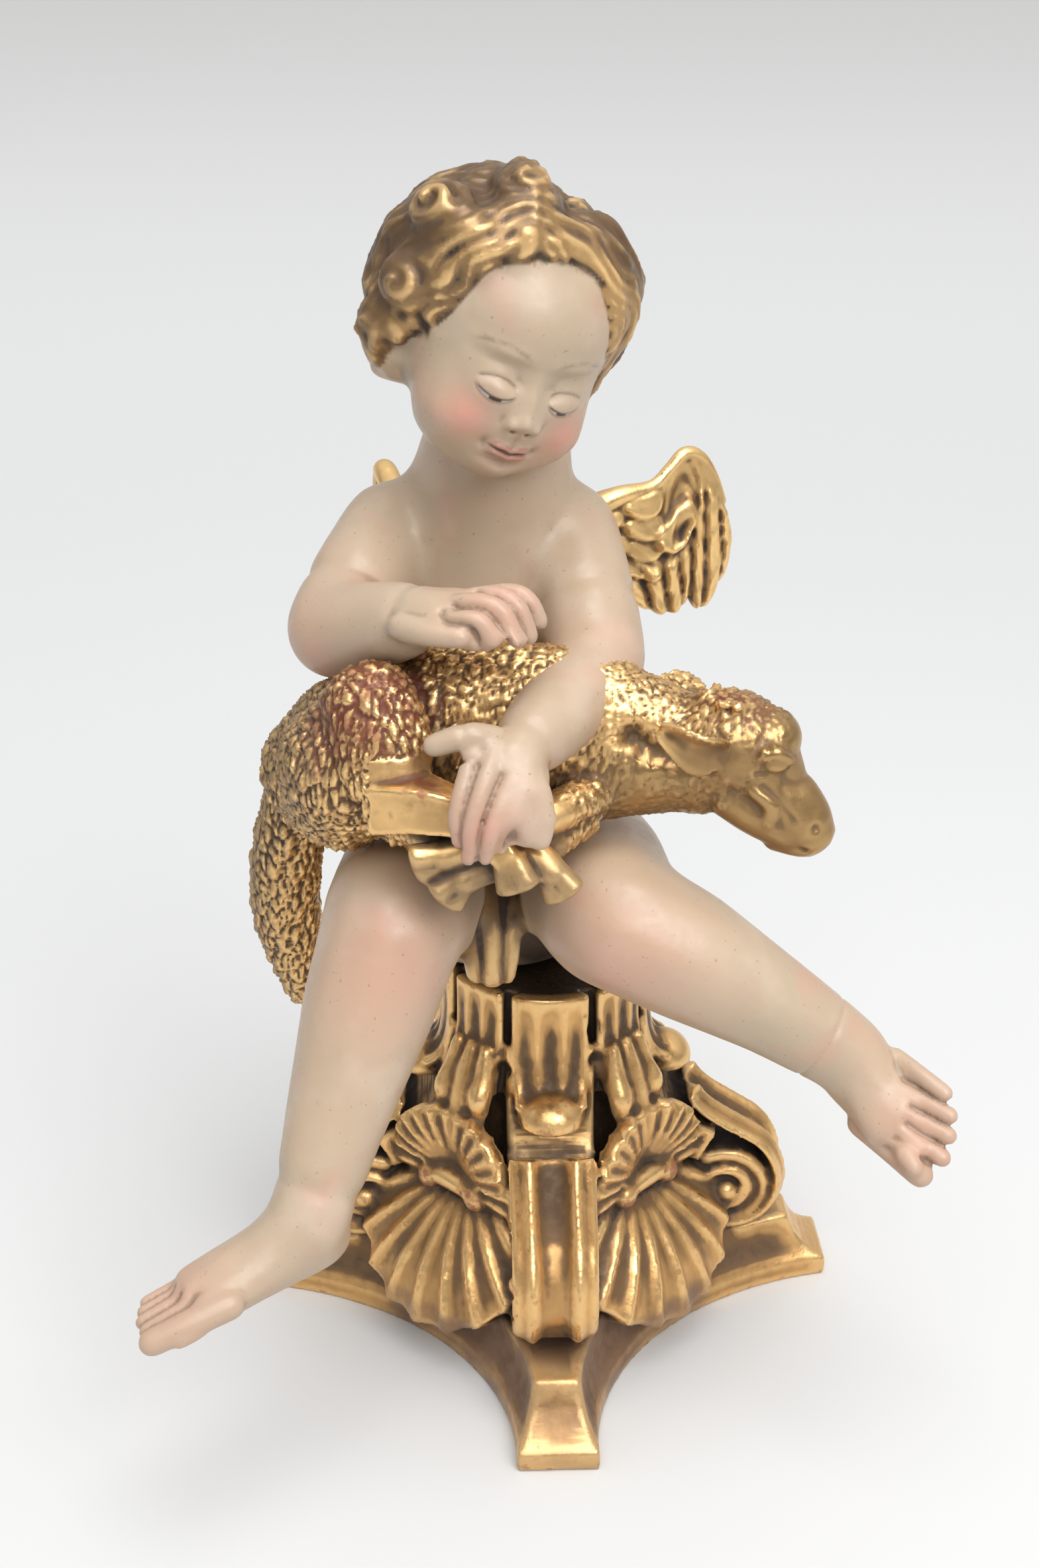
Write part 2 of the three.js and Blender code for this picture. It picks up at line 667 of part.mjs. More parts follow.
function lamb() {
  const legForms = [
    lambLeg([[-98, -122, 356], [-76, -136, 362], [-42, -147, 360], [-20, -155, 341]]),
    lambLeg([[-80, -116, 348], [-44, -140, 350], [-16, -148, 348], [-3, -153, 336]]),
    lambLeg([[16, -106, 366], [-10, -134, 362], [-44, -147, 354], [-66, -150, 346]]),
    lambLeg([[8, -106, 352], [-16, -138, 346], [-38, -146, 342], [-54, -150, 332]]),
  ];
  const whole = fuse([...lambBody(), ...lambHead(), ...legForms]);
  return whole.subtract(fuse(fleshNearLamb(FIT_GAP)));
}

// The wings

// A row of feathers hanging from an edge, as one scalloped sheet with a ridge down each feather.
function featherRow(edge, [first, last], tips, count, lift) {
  const tipLine = new THREE.CatmullRomCurve3(tips.map(vec));
  return sheet(2 * count, 2, (u, v, w) => {
    const top = edge.getPoint(mix(first, last, u));
    const ridge = 0.5 - 0.5 * Math.cos(2 * Math.PI * count * u);
    const end = top.clone().lerp(tipLine.getPoint(u), 0.86 + 0.14 * ridge);
    const depth = (w - 0.5) * WING.thickness * (1 - 0.45 * v) - (lift + 2.5 * ridge * v) * (w ? 0 : 1);
    return top.lerp(end, v).add(new THREE.Vector3(0, depth, 0));
  });
}

// One wing: its arm, from the root over the bend to the outer end, and two rows of feathers below it.
function wing({ arm: armPoints, tips, coverts }) {
  const edge = new THREE.CatmullRomCurve3(armPoints.map(vec));
  const forms = [
    limb(armPoints, [[14, 12], [12, 10], [10, 9], [7, 7]], { sides: 6, capRing: false }),
    featherRow(edge, [0.05, 1], tips, WING.feathers, 0),
    featherRow(edge, [0.05, 0.95], coverts, WING.coverts, 4),
  ];
  const shoulders = [JOINT.leftShoulder, JOINT.rightShoulder].map((joint) =>
    egg(joint, [GIRTH.shoulder, GIRTH.shoulder, GIRTH.shoulder], { sides: 9, grow: FIT_GAP }),
  );
  const upperArms = [
    arm(JOINT.rightShoulder, JOINT.rightElbow, JOINT.rightWrist, FIT_GAP)[0],
    arm(JOINT.leftShoulder, JOINT.leftElbow, JOINT.leftWrist, FIT_GAP)[0],
  ];
  return fuse(forms).subtract(fuse([torso(FIT_GAP), ...shoulders, ...upperArms]));
}

function leftWing() {
  return wing({
    arm: [[4, 38, 456], [38, 47, 464], [66, 57, 487], [88, 68, 470]],
    tips: [[40, 50, 408], [66, 62, 396], [97, 80, 426]],
    coverts: [[36, 42, 434], [62, 52, 430], [93, 72, 448]],
  });
}

function rightWing() {
  return wing({
    arm: [[-76, 40, 450], [-86, 62, 460], [-96, 82, 476], [-98, 106, 460]],
    tips: [[-84, 66, 402], [-94, 92, 396], [-102, 120, 424]],
    coverts: [[-84, 58, 434], [-92, 78, 428], [-101, 106, 440]],
  });
}

// The statue

function paintedFlesh() {
  return new THREE.MeshStandardMaterial({ color: 0xc9b299, roughness: 0.45, metalness: 0 });
}

function wornGilding() {
  return new THREE.MeshStandardMaterial({ color: 0xa67a38, roughness: 0.4, metalness: 0.7 });
}

function piece(name, solid, material) {
  const mesh = new THREE.Mesh(toGeometry(solid), material);
  mesh.name = name;
  return mesh;
}

const base = piece("capital", capital(), wornGilding());
base.rotation.z = radians(CAPITAL_TURN);

const figure = new THREE.Group();
figure.position.x = SEAT_SHIFT;
figure.add(
  piece("angel", angel(), paintedFlesh()),
  piece("lamb", lamb(), wornGilding()),
  piece("wing_left", leftWing(), wornGilding()),
  piece("wing_right", rightWing(), wornGilding()),
);

const statue = new THREE.Group();
statue.add(base, figure);

export default statue;
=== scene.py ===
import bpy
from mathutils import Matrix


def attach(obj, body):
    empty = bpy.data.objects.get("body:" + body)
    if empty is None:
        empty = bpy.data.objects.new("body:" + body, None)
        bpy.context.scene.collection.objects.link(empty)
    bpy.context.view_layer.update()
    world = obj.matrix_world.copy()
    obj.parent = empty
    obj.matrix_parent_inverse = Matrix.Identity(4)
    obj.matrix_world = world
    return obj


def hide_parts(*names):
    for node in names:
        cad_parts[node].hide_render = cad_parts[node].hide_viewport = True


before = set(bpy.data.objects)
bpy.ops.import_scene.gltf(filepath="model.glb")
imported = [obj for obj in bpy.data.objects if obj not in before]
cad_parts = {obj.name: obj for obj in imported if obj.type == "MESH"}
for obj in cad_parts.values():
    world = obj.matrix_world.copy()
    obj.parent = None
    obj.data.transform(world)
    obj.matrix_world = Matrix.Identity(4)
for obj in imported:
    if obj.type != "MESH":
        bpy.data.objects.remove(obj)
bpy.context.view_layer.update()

from math import atan2, cos, exp, pi, radians, sin, sqrt, tau

import bmesh
import bpy
import numpy as np
from mathutils import Euler, Matrix, Vector
from mathutils.bvhtree import BVHTree
from mathutils.kdtree import KDTree

# The pieces are carved in millimetres and turned into metres when they are done.
# Left and right are the angel's own; it faces -Y and its left side lies towards +X.
metre = 1000
seatShift = np.array((7.0, 0.0, 0.0))  # the figure sits this far along X on its seat
noShift = np.zeros(3)
mostTriangles = 196000  # in one piece
fullBend = 0.8  # mm that count as a full hollow or ridge
clearOfSkin = 0.6  # mm above the surface where a ray starts

# Clay: closed forms that a remesh fuses


def smoothLine(points, count):
    knots = np.asarray(points, float)
    t = np.linspace(0, len(knots) - 1, count)
    i = np.minimum(t.astype(int), len(knots) - 2)
    s = (t - i)[:, None]
    p = np.vstack([2 * knots[0] - knots[1], knots, 2 * knots[-1] - knots[-2]])
    a, b, c, d = p[i], p[i + 1], p[i + 2], p[i + 3]
    bend = (2 * a - 5 * b + 4 * c - d) * s**2 + (3 * b - a - 3 * c + d) * s**3
    return 0.5 * (2 * b + (c - a) * s + bend)


def unit(v):
    v = np.asarray(v, float)
    return v / np.maximum(np.linalg.norm(v, axis=-1, keepdims=True), 1e-9)


def wrapped(bm, columns, rows, place):
    # a grid rolled into a tube: place(u, v) takes u round it and v along it, both 0 to 1
    made = bmesh.ops.create_grid(bm, x_segments=columns, y_segments=rows, size=0.5)["verts"]
    for vert in made:
        vert.co = place((vert.co.x + 0.5) % 1.0, vert.co.y + 0.5)
    faces = {face for vert in made for face in vert.link_faces}
    verts = list({vert for face in faces for vert in face.verts})
    bmesh.ops.remove_doubles(bm, verts=verts, dist=1e-4)
    rim = [edge for edge in bm.edges if edge.is_boundary]
    bmesh.ops.holes_fill(bm, edges=rim, sides=0)


def roll(bm, points, girths, sides=12, spans=5, side=(1, 0, 0), blunt=0.85):
    # a rounded form along a smooth line; a girth is one radius or (across, deep)
    count = spans * (len(points) - 1) + 1
    line = smoothLine(points, count)
    ovals = smoothLine([g if np.ndim(g) else (g, g) for g in girths], count)
    along = unit(np.gradient(line, axis=0))
    rings = [(line[i], along[i], ovals[i]) for i in range(count)]
    for end, way in ((0, -1), (-1, 1)):
        centre, ahead, oval = rings[end]
        for angle in (30, 60, 90):
            reach = way * blunt * min(oval) * sin(radians(angle))
            ring = (centre + ahead * reach, ahead, oval * cos(radians(angle)))
            rings.insert(0 if way < 0 else len(rings), ring)

    def place(u, v):
        centre, ahead, oval = rings[round(v * (len(rings) - 1))]
        across = unit(np.asarray(side) - ahead * np.dot(side, ahead))
        deep = np.cross(ahead, across)
        return centre + across * oval[0] * cos(tau * u) + deep * oval[1] * sin(tau * u)

    wrapped(bm, sides, len(rings) - 1, place)


def ball(bm, centre, radii, turn=(0, 0, 0), fine=3):
    size = Matrix.Diagonal((*radii, 1))
    spin = Euler([radians(a) for a in turn]).to_matrix().to_4x4()
    matrix = Matrix.Translation(Vector(centre)) @ spin @ size
    bmesh.ops.create_icosphere(bm, subdivisions=fine, radius=1, matrix=matrix)


def sheet(bm, across, along, place, thickness, out):
    # place(u, v) takes u across and v along, both 0 to 1; the thickness grows on the side away from out
    made = bmesh.ops.create_grid(bm, x_segments=across, y_segments=along, size=0.5)["verts"]
    faces = list({face for vert in made for face in vert.link_faces})
    for vert in made:
        vert.co = place(vert.co.x + 0.5, vert.co.y + 0.5)
    for part in faces + made:
        part.normal_update()
    facing = sum((face.normal * face.calc_area() for face in faces), Vector()).dot(Vector(out))
    bmesh.ops.solidify(bm, geom=faces, thickness=thickness if facing > 0 else -thickness)


# Carving: remeshing, smoothing and cutting with arrays of points


def applyModifiers(obj):
    evaluated = obj.evaluated_get(bpy.context.evaluated_depsgraph_get())
    mesh = bpy.data.meshes.new_from_object(evaluated)
    obj.modifiers.clear()
    old = obj.data
    obj.data = mesh
    bpy.data.meshes.remove(old)


def fuse(name, bm, voxel):
    # one fine skin round everything in the bmesh
    bmesh.ops.recalc_face_normals(bm, faces=bm.faces)
    mesh = bpy.data.meshes.new(name)
    bm.to_mesh(mesh)
    bm.free()
    obj = bpy.data.objects.new(name, mesh)
    bpy.context.scene.collection.objects.link(obj)
    remesh = obj.modifiers.new("fuse", "REMESH")
    remesh.mode = "VOXEL"
    remesh.voxel_size = voxel
    applyModifiers(obj)
    return obj


def clayOf(node, shift):
    # a copy of a solid, in the carver's millimetres
    bm = bmesh.new()
    bm.from_mesh(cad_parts[node].data)
    bmesh.ops.remove_doubles(bm, verts=bm.verts, dist=1e-6)
    bmesh.ops.scale(bm, vec=(metre,) * 3, verts=bm.verts)
    bmesh.ops.translate(bm, vec=-shift, verts=bm.verts)
    return bm


def pointsOf(mesh):
    co = np.empty(len(mesh.vertices) * 3)
    mesh.vertices.foreach_get("co", co)
    return co.reshape(-1, 3)


def setPoints(mesh, co):
    mesh.vertices.foreach_set("co", co.ravel())
    mesh.update()


def normalsOf(mesh):
    normals = np.empty(len(mesh.vertices) * 3)
    mesh.vertex_normals.foreach_get("vector", normals)
    return normals.reshape(-1, 3)


def relaxed(mesh, co, weight, rounds):
    # each point moves towards the middle of its neighbours
    ends = np.empty(len(mesh.edges) * 2, np.int64)
    mesh.edges.foreach_get("vertices", ends)
    a, b = ends.reshape(-1, 2).T
    here, there = np.r_[a, b], np.r_[b, a]
    count = np.maximum(np.bincount(here, minlength=len(co)), 1)[:, None]
    weight = np.broadcast_to(weight, len(co))[:, None]
    for _ in range(rounds):
        totals = [np.bincount(here, co[there, k], len(co)) for k in range(co.shape[1])]
        co = co + weight * (np.stack(totals, 1) / count - co)
    return co


def refine(obj, chosen):
    # one more cut through every edge between the chosen points
    bm = bmesh.new()
    bm.from_mesh(obj.data)
    edges = [e for e in bm.edges if chosen[e.verts[0].index] and chosen[e.verts[1].index]]
    bmesh.ops.subdivide_edges(bm, edges=edges, cuts=1, use_grid_fill=True)
    bm.to_mesh(obj.data)
    bm.free()


def smoothStep(x, low, high):
    t = np.clip((np.asarray(x, float) - low) / (high - low), 0, 1)
    return t * t * (3 - 2 * t)


def hump(d, width):
    return np.exp(-((d / width) ** 2))


def awayFrom(co, line):
    # distance of every point from a chain of points
    best = np.full(len(co), 1e9)
    for a, b in zip(line[:-1], line[1:]):
        span = b - a
        t = np.clip((co - a) @ span / max(span @ span, 1e-9), 0, 1)
        best = np.minimum(best, np.linalg.norm(co - a - t[:, None] * span, axis=1))
    return best


def nearestOf(co, samples):
    # distance to the two nearest samples and the index of the nearest
    tree = KDTree(len(samples))
    for i, sample in enumerate(samples):
        tree.insert(sample, i)
    tree.balance()
    found = [tree.find_n(p, 2) for p in co]
    first = np.array([f[0][2] for f in found])
    second = np.array([f[1][2] for f in found])
    return first, second, np.array([f[0][1] for f in found])


def triangleCount(mesh):
    return sum(len(p.vertices) - 2 for p in mesh.polygons)


def dropScraps(mesh):
    # keeps the one large island, because the thinning leaves flat crumbs of bubbles sealed in the clay
    bm = bmesh.new()
    bm.from_mesh(mesh)
    waiting = set(bm.verts)
    islands = []
    while waiting:
        island = [waiting.pop()]
        for vert in island:
            joined = {edge.other_vert(vert) for edge in vert.link_edges} & waiting
            waiting -= joined
            island.extend(joined)
        islands.append(island)
    islands.sort(key=len)
    bmesh.ops.delete(bm, geom=sum(islands[:-1], []), context="VERTS")
    bm.to_mesh(mesh)
    bm.free()


def thin(obj, most):
    triangles = triangleCount(obj.data)
    if triangles > most:
        decimate = obj.modifiers.new("thin", "DECIMATE")
        decimate.ratio = most / triangles
        applyModifiers(obj)
        dropScraps(obj.data)


def saveMask(mesh, name, values):
    made = mesh.attributes.new(name, "FLOAT", "POINT")
    made.data.foreach_set("value", np.clip(values, 0, 1).astype(np.float32))


def shelterOf(mesh, co, normals, reach, rays=7):
    # share of the directions above each point that the carving itself blocks within reach
    mesh.calc_loop_triangles()
    corners = np.empty(len(mesh.loop_triangles) * 3, np.int64)
    mesh.loop_triangles.foreach_get("vertices", corners)
    tree = BVHTree.FromPolygons(co.tolist(), corners.reshape(-1, 3).tolist(), all_triangles=True)
    golden = pi * (3 - sqrt(5))
    blocked = np.zeros(len(co))
    starts = (co + normals * clearOfSkin).tolist()
    for k in range(rays):
        z = 1 - (k + 0.5) / rays * 0.85
        flat = sqrt(1 - z * z)
        other = np.where(np.abs(normals[:, :1]) < 0.8, [[1.0, 0, 0]], [[0, 1.0, 0]])
        across = unit(np.cross(normals, other))
        deep = np.cross(normals, across)
        aim = normals * z + across * flat * cos(golden * k) + deep * flat * sin(golden * k)
        hits = [tree.ray_cast(p, d, reach)[0] is not None for p, d in zip(starts, aim.tolist())]
        blocked += np.array(hits) / rays
    return blocked


def finishCarving(obj, reach, most):
    # thins the mesh and saves how hollow, raised and sheltered each point is
    thin(obj, most)
    mesh = obj.data
    co = pointsOf(mesh)
    normals = normalsOf(mesh)
    bend = np.einsum("ij,ij->i", relaxed(mesh, co, 1.0, 8) - co, normals)
    saveMask(mesh, "hollow", bend / fullBend)
    saveMask(mesh, "ridge", -bend / fullBend)
    shelter = shelterOf(mesh, co, normals, reach)
    saveMask(mesh, "shelter", relaxed(mesh, shelter[:, None], 0.6, 3)[:, 0])
    return mesh, co, normals


def placePiece(obj, node, material, shift=seatShift):
    mesh = obj.data
    setPoints(mesh, (pointsOf(mesh) + shift) / metre)
    mesh.shade_smooth()
    mesh.materials.clear()
    mesh.materials.append(material)
    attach(obj, "root")
    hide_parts(node)
    print(f"{obj.name}: {triangleCount(mesh)} triangles")


# Finishes: a share, a colour or a height is a socket or a plain value


def setSocket(tree, socket, value):
    if isinstance(value, bpy.types.NodeSocket):
        tree.links.new(value, socket)
    elif isinstance(value, tuple) and len(value) == 3:
        socket.default_value = (*value, 1)
    else:
        socket.default_value = value


def newFinish(name):
    material = bpy.data.materials.new(name)
    material.use_nodes = True
    return material, material.node_tree, material.node_tree.nodes["Principled BSDF"]


def mixColour(tree, share, first, second):
    made = tree.nodes.new("ShaderNodeMix")
    made.data_type = "RGBA"
    for socket, value in ((made.inputs[0], share), (made.inputs[6], first), (made.inputs[7], second)):
        setSocket(tree, socket, value)
    return made.outputs[2]


def sums(tree, operation, first, second=0.0, third=0.0, clamp=False):
    made = tree.nodes.new("ShaderNodeMath")
    made.operation = operation
    made.use_clamp = clamp
    for socket, value in zip(made.inputs, (first, second, third)):
        setSocket(tree, socket, value)
    return made.outputs[0]


def ramp(tree, value, low, high, start=0.0, end=1.0):
    made = tree.nodes.new("ShaderNodeMapRange")
    made.interpolation_type = "SMOOTHSTEP"
    for name, number in (("From Min", low), ("From Max", high), ("To Min", start), ("To Max", end)):
        made.inputs[name].default_value = number
    setSocket(tree, made.inputs["Value"], value)
    return made.outputs["Result"]


def noiseOf(tree, scale, detail):
    coords = tree.nodes.new("ShaderNodeTexCoord")
    made = tree.nodes.new("ShaderNodeTexNoise")
    made.inputs["Scale"].default_value = scale
    made.inputs["Detail"].default_value = detail
    tree.links.new(coords.outputs["Object"], made.inputs["Vector"])
    return made.outputs["Fac"]


def maskOf(tree, name, amount=1.0):
    made = tree.nodes.new("ShaderNodeAttribute")
    made.attribute_name = name
    return made.outputs["Fac"] if amount == 1.0 else sums(tree, "MULTIPLY", made.outputs["Fac"], amount)


# the dull and dirt colours also carry painted shade, and the bright colour is a painted highlight
gilding = {
    "leaf": (0.72, 0.42, 0.165),
    "dullAndShade": (0.215, 0.115, 0.041),
    "crestHighlight": (0.88, 0.58, 0.26),
    "bole": (0.28, 0.09, 0.04),
    "dirtAndShade": (0.035, 0.02, 0.011),
}


def agedGildingAndPaintedLight():
    # leaf over red bole: painted highlight on the crests, rubbed through on some, dull, dirty and painted
    # shade in the hollows
    group = bpy.data.node_groups.new("agedGildingAndPaintedLight", "ShaderNodeTree")
    for name, kind, out in (
        ("Leaf", "NodeSocketColor", "INPUT"),
        ("DullAndShade", "NodeSocketColor", "INPUT"),
        ("Dulling", "NodeSocketFloat", "INPUT"),
        ("Wear", "NodeSocketFloat", "INPUT"),
        ("DirtAndShade", "NodeSocketFloat", "INPUT"),
        ("Color", "NodeSocketColor", "OUTPUT"),
        ("Metallic", "NodeSocketFloat", "OUTPUT"),
        ("Roughness", "NodeSocketFloat", "OUTPUT"),
        ("Height", "NodeSocketFloat", "OUTPUT"),
    ):
        group.interface.new_socket(name, in_out=out, socket_type=kind)
    given = group.nodes.new("NodeGroupInput").outputs
    result = group.nodes.new("NodeGroupOutput").inputs
    broad = noiseOf(group, 26, 4)
    fine = noiseOf(group, 160, 4)
    grit = noiseOf(group, 520, 2)
    hollow, ridge, shelter = (maskOf(group, name) for name in ("hollow", "ridge", "shelter"))
    dullingAndShade = sums(group, "MULTIPLY", ramp(group, broad, 0.34, 0.64), given["Dulling"])
    # painted shade: sheltered and hollow places take more of the dull colour, crests less
    dullingAndShade = sums(group, "ADD", dullingAndShade, ramp(group, shelter, 0.05, 0.5, 0, 0.8))
    dullingAndShade = sums(group, "ADD", dullingAndShade, ramp(group, hollow, 0.03, 0.5, 0, 0.7))
    dullingAndShade = sums(group, "SUBTRACT", dullingAndShade, ramp(group, ridge, 0.1, 0.7, 0, 0.6), clamp=True)
    colour = mixColour(group, dullingAndShade, given["Leaf"], given["DullAndShade"])
    # painted highlight: the crests turn to a brighter gold
    paintedHighlight = ramp(group, ridge, 0.2, 0.9, 0, 0.7)
    colour = mixColour(group, paintedHighlight, colour, gilding["crestHighlight"])
    rub = ramp(group, fine, 0.35, 0.75, -0.35, 0.6)
    rub = sums(group, "MULTIPLY_ADD", ridge, 0.55, rub)
    rub = sums(group, "ADD", rub, sums(group, "SUBTRACT", given["Wear"], 1.0))
    worn = ramp(group, rub, -0.1, 0.55, 0, 0.85)
    colour = mixColour(group, worn, colour, gilding["bole"])
    # dirt and painted shade: hollows and sheltered places darken to the dirt colour and lose shine
    soilAndShade = ramp(group, hollow, 0.1, 0.8, 0, 0.7)
    soilAndShade = sums(group, "ADD", soilAndShade, ramp(group, shelter, 0.2, 0.75))
    soilAndShade = sums(group, "MULTIPLY", soilAndShade, ramp(group, fine, 0.2, 0.6, 0.65, 1.1))
    soilAndShade = sums(group, "MULTIPLY", soilAndShade, given["DirtAndShade"], clamp=True)
    colour = mixColour(group, soilAndShade, colour, gilding["dirtAndShade"])
    metal = sums(group, "MULTIPLY_ADD", worn, -0.8, 0.9)
    metal = sums(group, "MULTIPLY_ADD", dullingAndShade, -0.4, metal)
    metal = sums(group, "SUBTRACT", metal, soilAndShade, clamp=True)
    rough = ramp(group, fine, 0.3, 0.7, 0.24, 0.40)
    for cause, amount in ((soilAndShade, 0.3), (worn, 0.2), (dullingAndShade, 0.12)):
        rough = sums(group, "MULTIPLY_ADD", cause, amount, rough)
    height = sums(group, "MULTIPLY_ADD", fine, 0.7, sums(group, "MULTIPLY", grit, 0.3))
    for name, value in (("Color", colour), ("Metallic", metal), ("Roughness", rough), ("Height", height)):
        group.links.new(value, result[name])
    return group


gildingGroup = agedGildingAndPaintedLight()
gildingGrain = 0.0006  # metres of bump


def gildingNode(tree, dulling, wear, dirtAndShade, leaf=gilding["leaf"], dullAndShade=gilding["dullAndShade"]):
    made = tree.nodes.new("ShaderNodeGroup")
    made.node_tree = gildingGroup
    given = {"Leaf": leaf, "DullAndShade": dullAndShade, "Dulling": dulling, "Wear": wear, "DirtAndShade": dirtAndShade}
    for name, value in given.items():
        setSocket(tree, made.inputs[name], value)
    return made.outputs


def bumped(tree, shader, height, strength, distance):
    bump = tree.nodes.new("ShaderNodeBump")
    bump.inputs["Strength"].default_value = strength
    bump.inputs["Distance"].default_value = distance
    setSocket(tree, bump.inputs["Height"], height)
    tree.links.new(bump.outputs["Normal"], shader.inputs["Normal"])


def dress(tree, shader, colour, metallic, roughness):
    for name, value in (("Base Color", colour), ("Metallic", metallic), ("Roughness", roughness)):
        tree.links.new(value, shader.inputs[name])


def gildedFinish(name, dulling, wear, dirtAndShade, leaf):
    material, tree, shader = newFinish(name)
    gold = gildingNode(tree, dulling, wear, dirtAndShade, leaf)
    dress(tree, shader, gold["Color"], gold["Metallic"], gold["Roughness"])
    bumped(tree, shader, gold["Height"], 0.5, gildingGrain)
    return material


print("finishes ready")

# The capital, upside down: abacus with four horns, bell, corner scrolls, leaves, shells and palmettes

capitalShape = {
    "turn": 2,  # degrees off the axes
    "neck": 59,
    "foot": (170, 44, 89),  # reach, width of a horn's end, waist
    "top": (146, 24, 78),
    "abacus": 40,
    "moulding": [  # share of the abacus' height, and how far it has drawn in from foot to top there
        (0, 0.02),
        (0.04, 0),
        (0.24, 0),
        (0.3, 0.05),
        (0.38, 0.3),
        (0.5, 0.56),
        (0.66, 0.76),
        (0.84, 0.9),
        (1, 1),
    ],
    "bell": [(0.01, 34), (70, 34), (58, 70), (50, 110), (47, 160), (47, 200), (49, 221.5), (0.01, 221.5)],
    "backing": [(55, 190), (58, 168), (61, 150), (67, 136), (80, 124), (98, 114)],
    "drillHoles": [(27, -52, 200), (27, -54, 182), (-22, -54, 176)],
    "sweep": 18,  # how far back the side horns are carved
    "voxel": 1.7,
}
scroll = {  # places are (radius, height)
    "eye": (105, 72),
    "coil": 36,
    "turns": 1.5,
    "stem": 0.22,  # share of the band above the coil
    "stemTop": (88, 140),
    "stemBend": (91, 131),
    "stemEnd": (-20, 13),  # from the coil's start
    "band": 9,
    "width": 51,
    "eyeWidth": 44,
}


def around(angle, radius, sideways, height):
    a = radians(angle)
    return np.array((radius * cos(a) - sideways * sin(a), radius * sin(a) + sideways * cos(a), height))


def hornOutline(reach, hornWidth, waist, sidePoints=20):
    half = hornWidth / 2
    far = (reach**2 + half**2 - waist**2) / (sqrt(2) * (reach + half) - 2 * waist)
    hollow, centre = far - waist, far / sqrt(2)
    start = atan2(half - centre, reach - centre)
    side = np.linspace(start, -1.5 * pi - start, sidePoints + 1)
    end = [(reach, half * share) for share in (0, 0.35, 0.7)]
    nextEnd = [(half * share, reach) for share in (0.7, 0.35)]
    quarter = end + [(centre + hollow * cos(a), centre + hollow * sin(a)) for a in side] + nextEnd
    return [around(90 * k, x, y, 0) for k in range(4) for x, y in quarter]


def addAbacus(bm):
    foot = hornOutline(*capitalShape["foot"])
    top = hornOutline(*capitalShape["top"])
    levels = capitalShape["moulding"]

    def place(u, v):
        column = round(u * len(foot)) % len(foot)
        height, drawnIn = levels[round(v * (len(levels) - 1))]
        point = foot[column] * (1 - drawnIn) + top[column] * drawnIn
        point[1] += capitalShape["sweep"] * (point[0] / capitalShape["foot"][0]) ** 2
        point[2] = height * capitalShape["abacus"]
        return point

    wrapped(bm, len(foot), len(levels) - 1, place)


def addBell(bm):
    profile = capitalShape["bell"]

    def place(u, v):
        radius, height = profile[round(v * (len(profile) - 1))]
        return around(360 * u, radius, 0, height)

    wrapped(bm, 48, len(profile) - 1, place)


def scrollPoint(t):
    # the line of a corner scroll's band as (radius, height): a stem, then a coil
    stem, coil = scroll["stem"], scroll["coil"]
    eyeRadius, eyeHeight = scroll["eye"]

    def coilPoint(share):
        angle = radians(62 - 360 * scroll["turns"] * share)
        size = coil * (1 - 0.68 * share) * (1 + 0.22 * exp(-9 * share))
        return np.array((eyeRadius + size * cos(angle), eyeHeight + size * sin(angle)))

    if t >= stem:
        return coilPoint((t - stem) / (1 - stem))
    joint = coilPoint(0)
    a, b, c = np.array(scroll["stemTop"]), np.array(scroll["stemBend"]), joint + scroll["stemEnd"]
    s = t / stem
    return (1 - s) ** 3 * a + 3 * s * (1 - s) ** 2 * b + 3 * s * s * (1 - s) * c + s**3 * joint


def addScroll(bm, angle):
    band, wide, narrow = scroll["band"], scroll["width"], scroll["eyeWidth"]
    outerFace = 0.84  # share of the way round the band that its carved face takes

    def place(u, v):
        if u < outerFace:
            across = u / outerFace - 0.5
            rims = exp(-(((abs(across) - 0.25) / 0.07) ** 2))
            panel = exp(-((across / 0.15) ** 4))
            rounded = 1 - 0.8 * float(smoothStep(abs(across), 0.42, 0.5))
            out = (0.62 + 0.5 * rims - 0.3 * panel) * rounded
        else:
            across, out = 0.5 - (u - outerFace) / (1 - outerFace), 0.0
        ahead, behind = scrollPoint(min(v + 0.01, 1)), scrollPoint(max(v - 0.01, 0))
        outward = unit((behind[1] - ahead[1], ahead[0] - behind[0]))
        spot = scrollPoint(v) + outward * band * ((1 - 0.4 * v) * out - 1)
        return around(angle, spot[0], (wide + (narrow - wide) * v) * across, spot[1])

    wrapped(bm, 50, 110, place)
    hub, (eyeRadius, eyeHeight) = scroll["coil"] - 8, scroll["eye"]
    spin = Matrix.Rotation(radians(angle), 4, "Z") @ Matrix.Rotation(pi / 2, 4, "X")
    centre = Matrix.Translation(Vector(around(angle, eyeRadius - 1, 0, eyeHeight - 1)))
    drum = {"radius1": hub, "radius2": hub, "depth": narrow - 12}
    bmesh.ops.create_cone(bm, cap_ends=True, segments=40, matrix=centre @ spin, **drum)
    for hand in (-1, 1):  # a raised spiral and a button on both ends
        path, girth = [], []
        for s in np.linspace(0, 1, 30):
            turn, size = radians(120 - 620 * s), 25 * (1 - s) + 8 * s
            side = hand * (narrow / 2 - 5 + 2.5 * s)
            path.append(around(angle, eyeRadius + size * cos(turn), side, eyeHeight + size * sin(turn)))
            girth.append(4.6 - 1.8 * s)
        roll(bm, path, girth, sides=10, spans=1, side=around(angle, 0, 1, 0))
        ball(bm, around(angle, eyeRadius, hand * (narrow / 2 - 3), eyeHeight), (6, 6, 6))


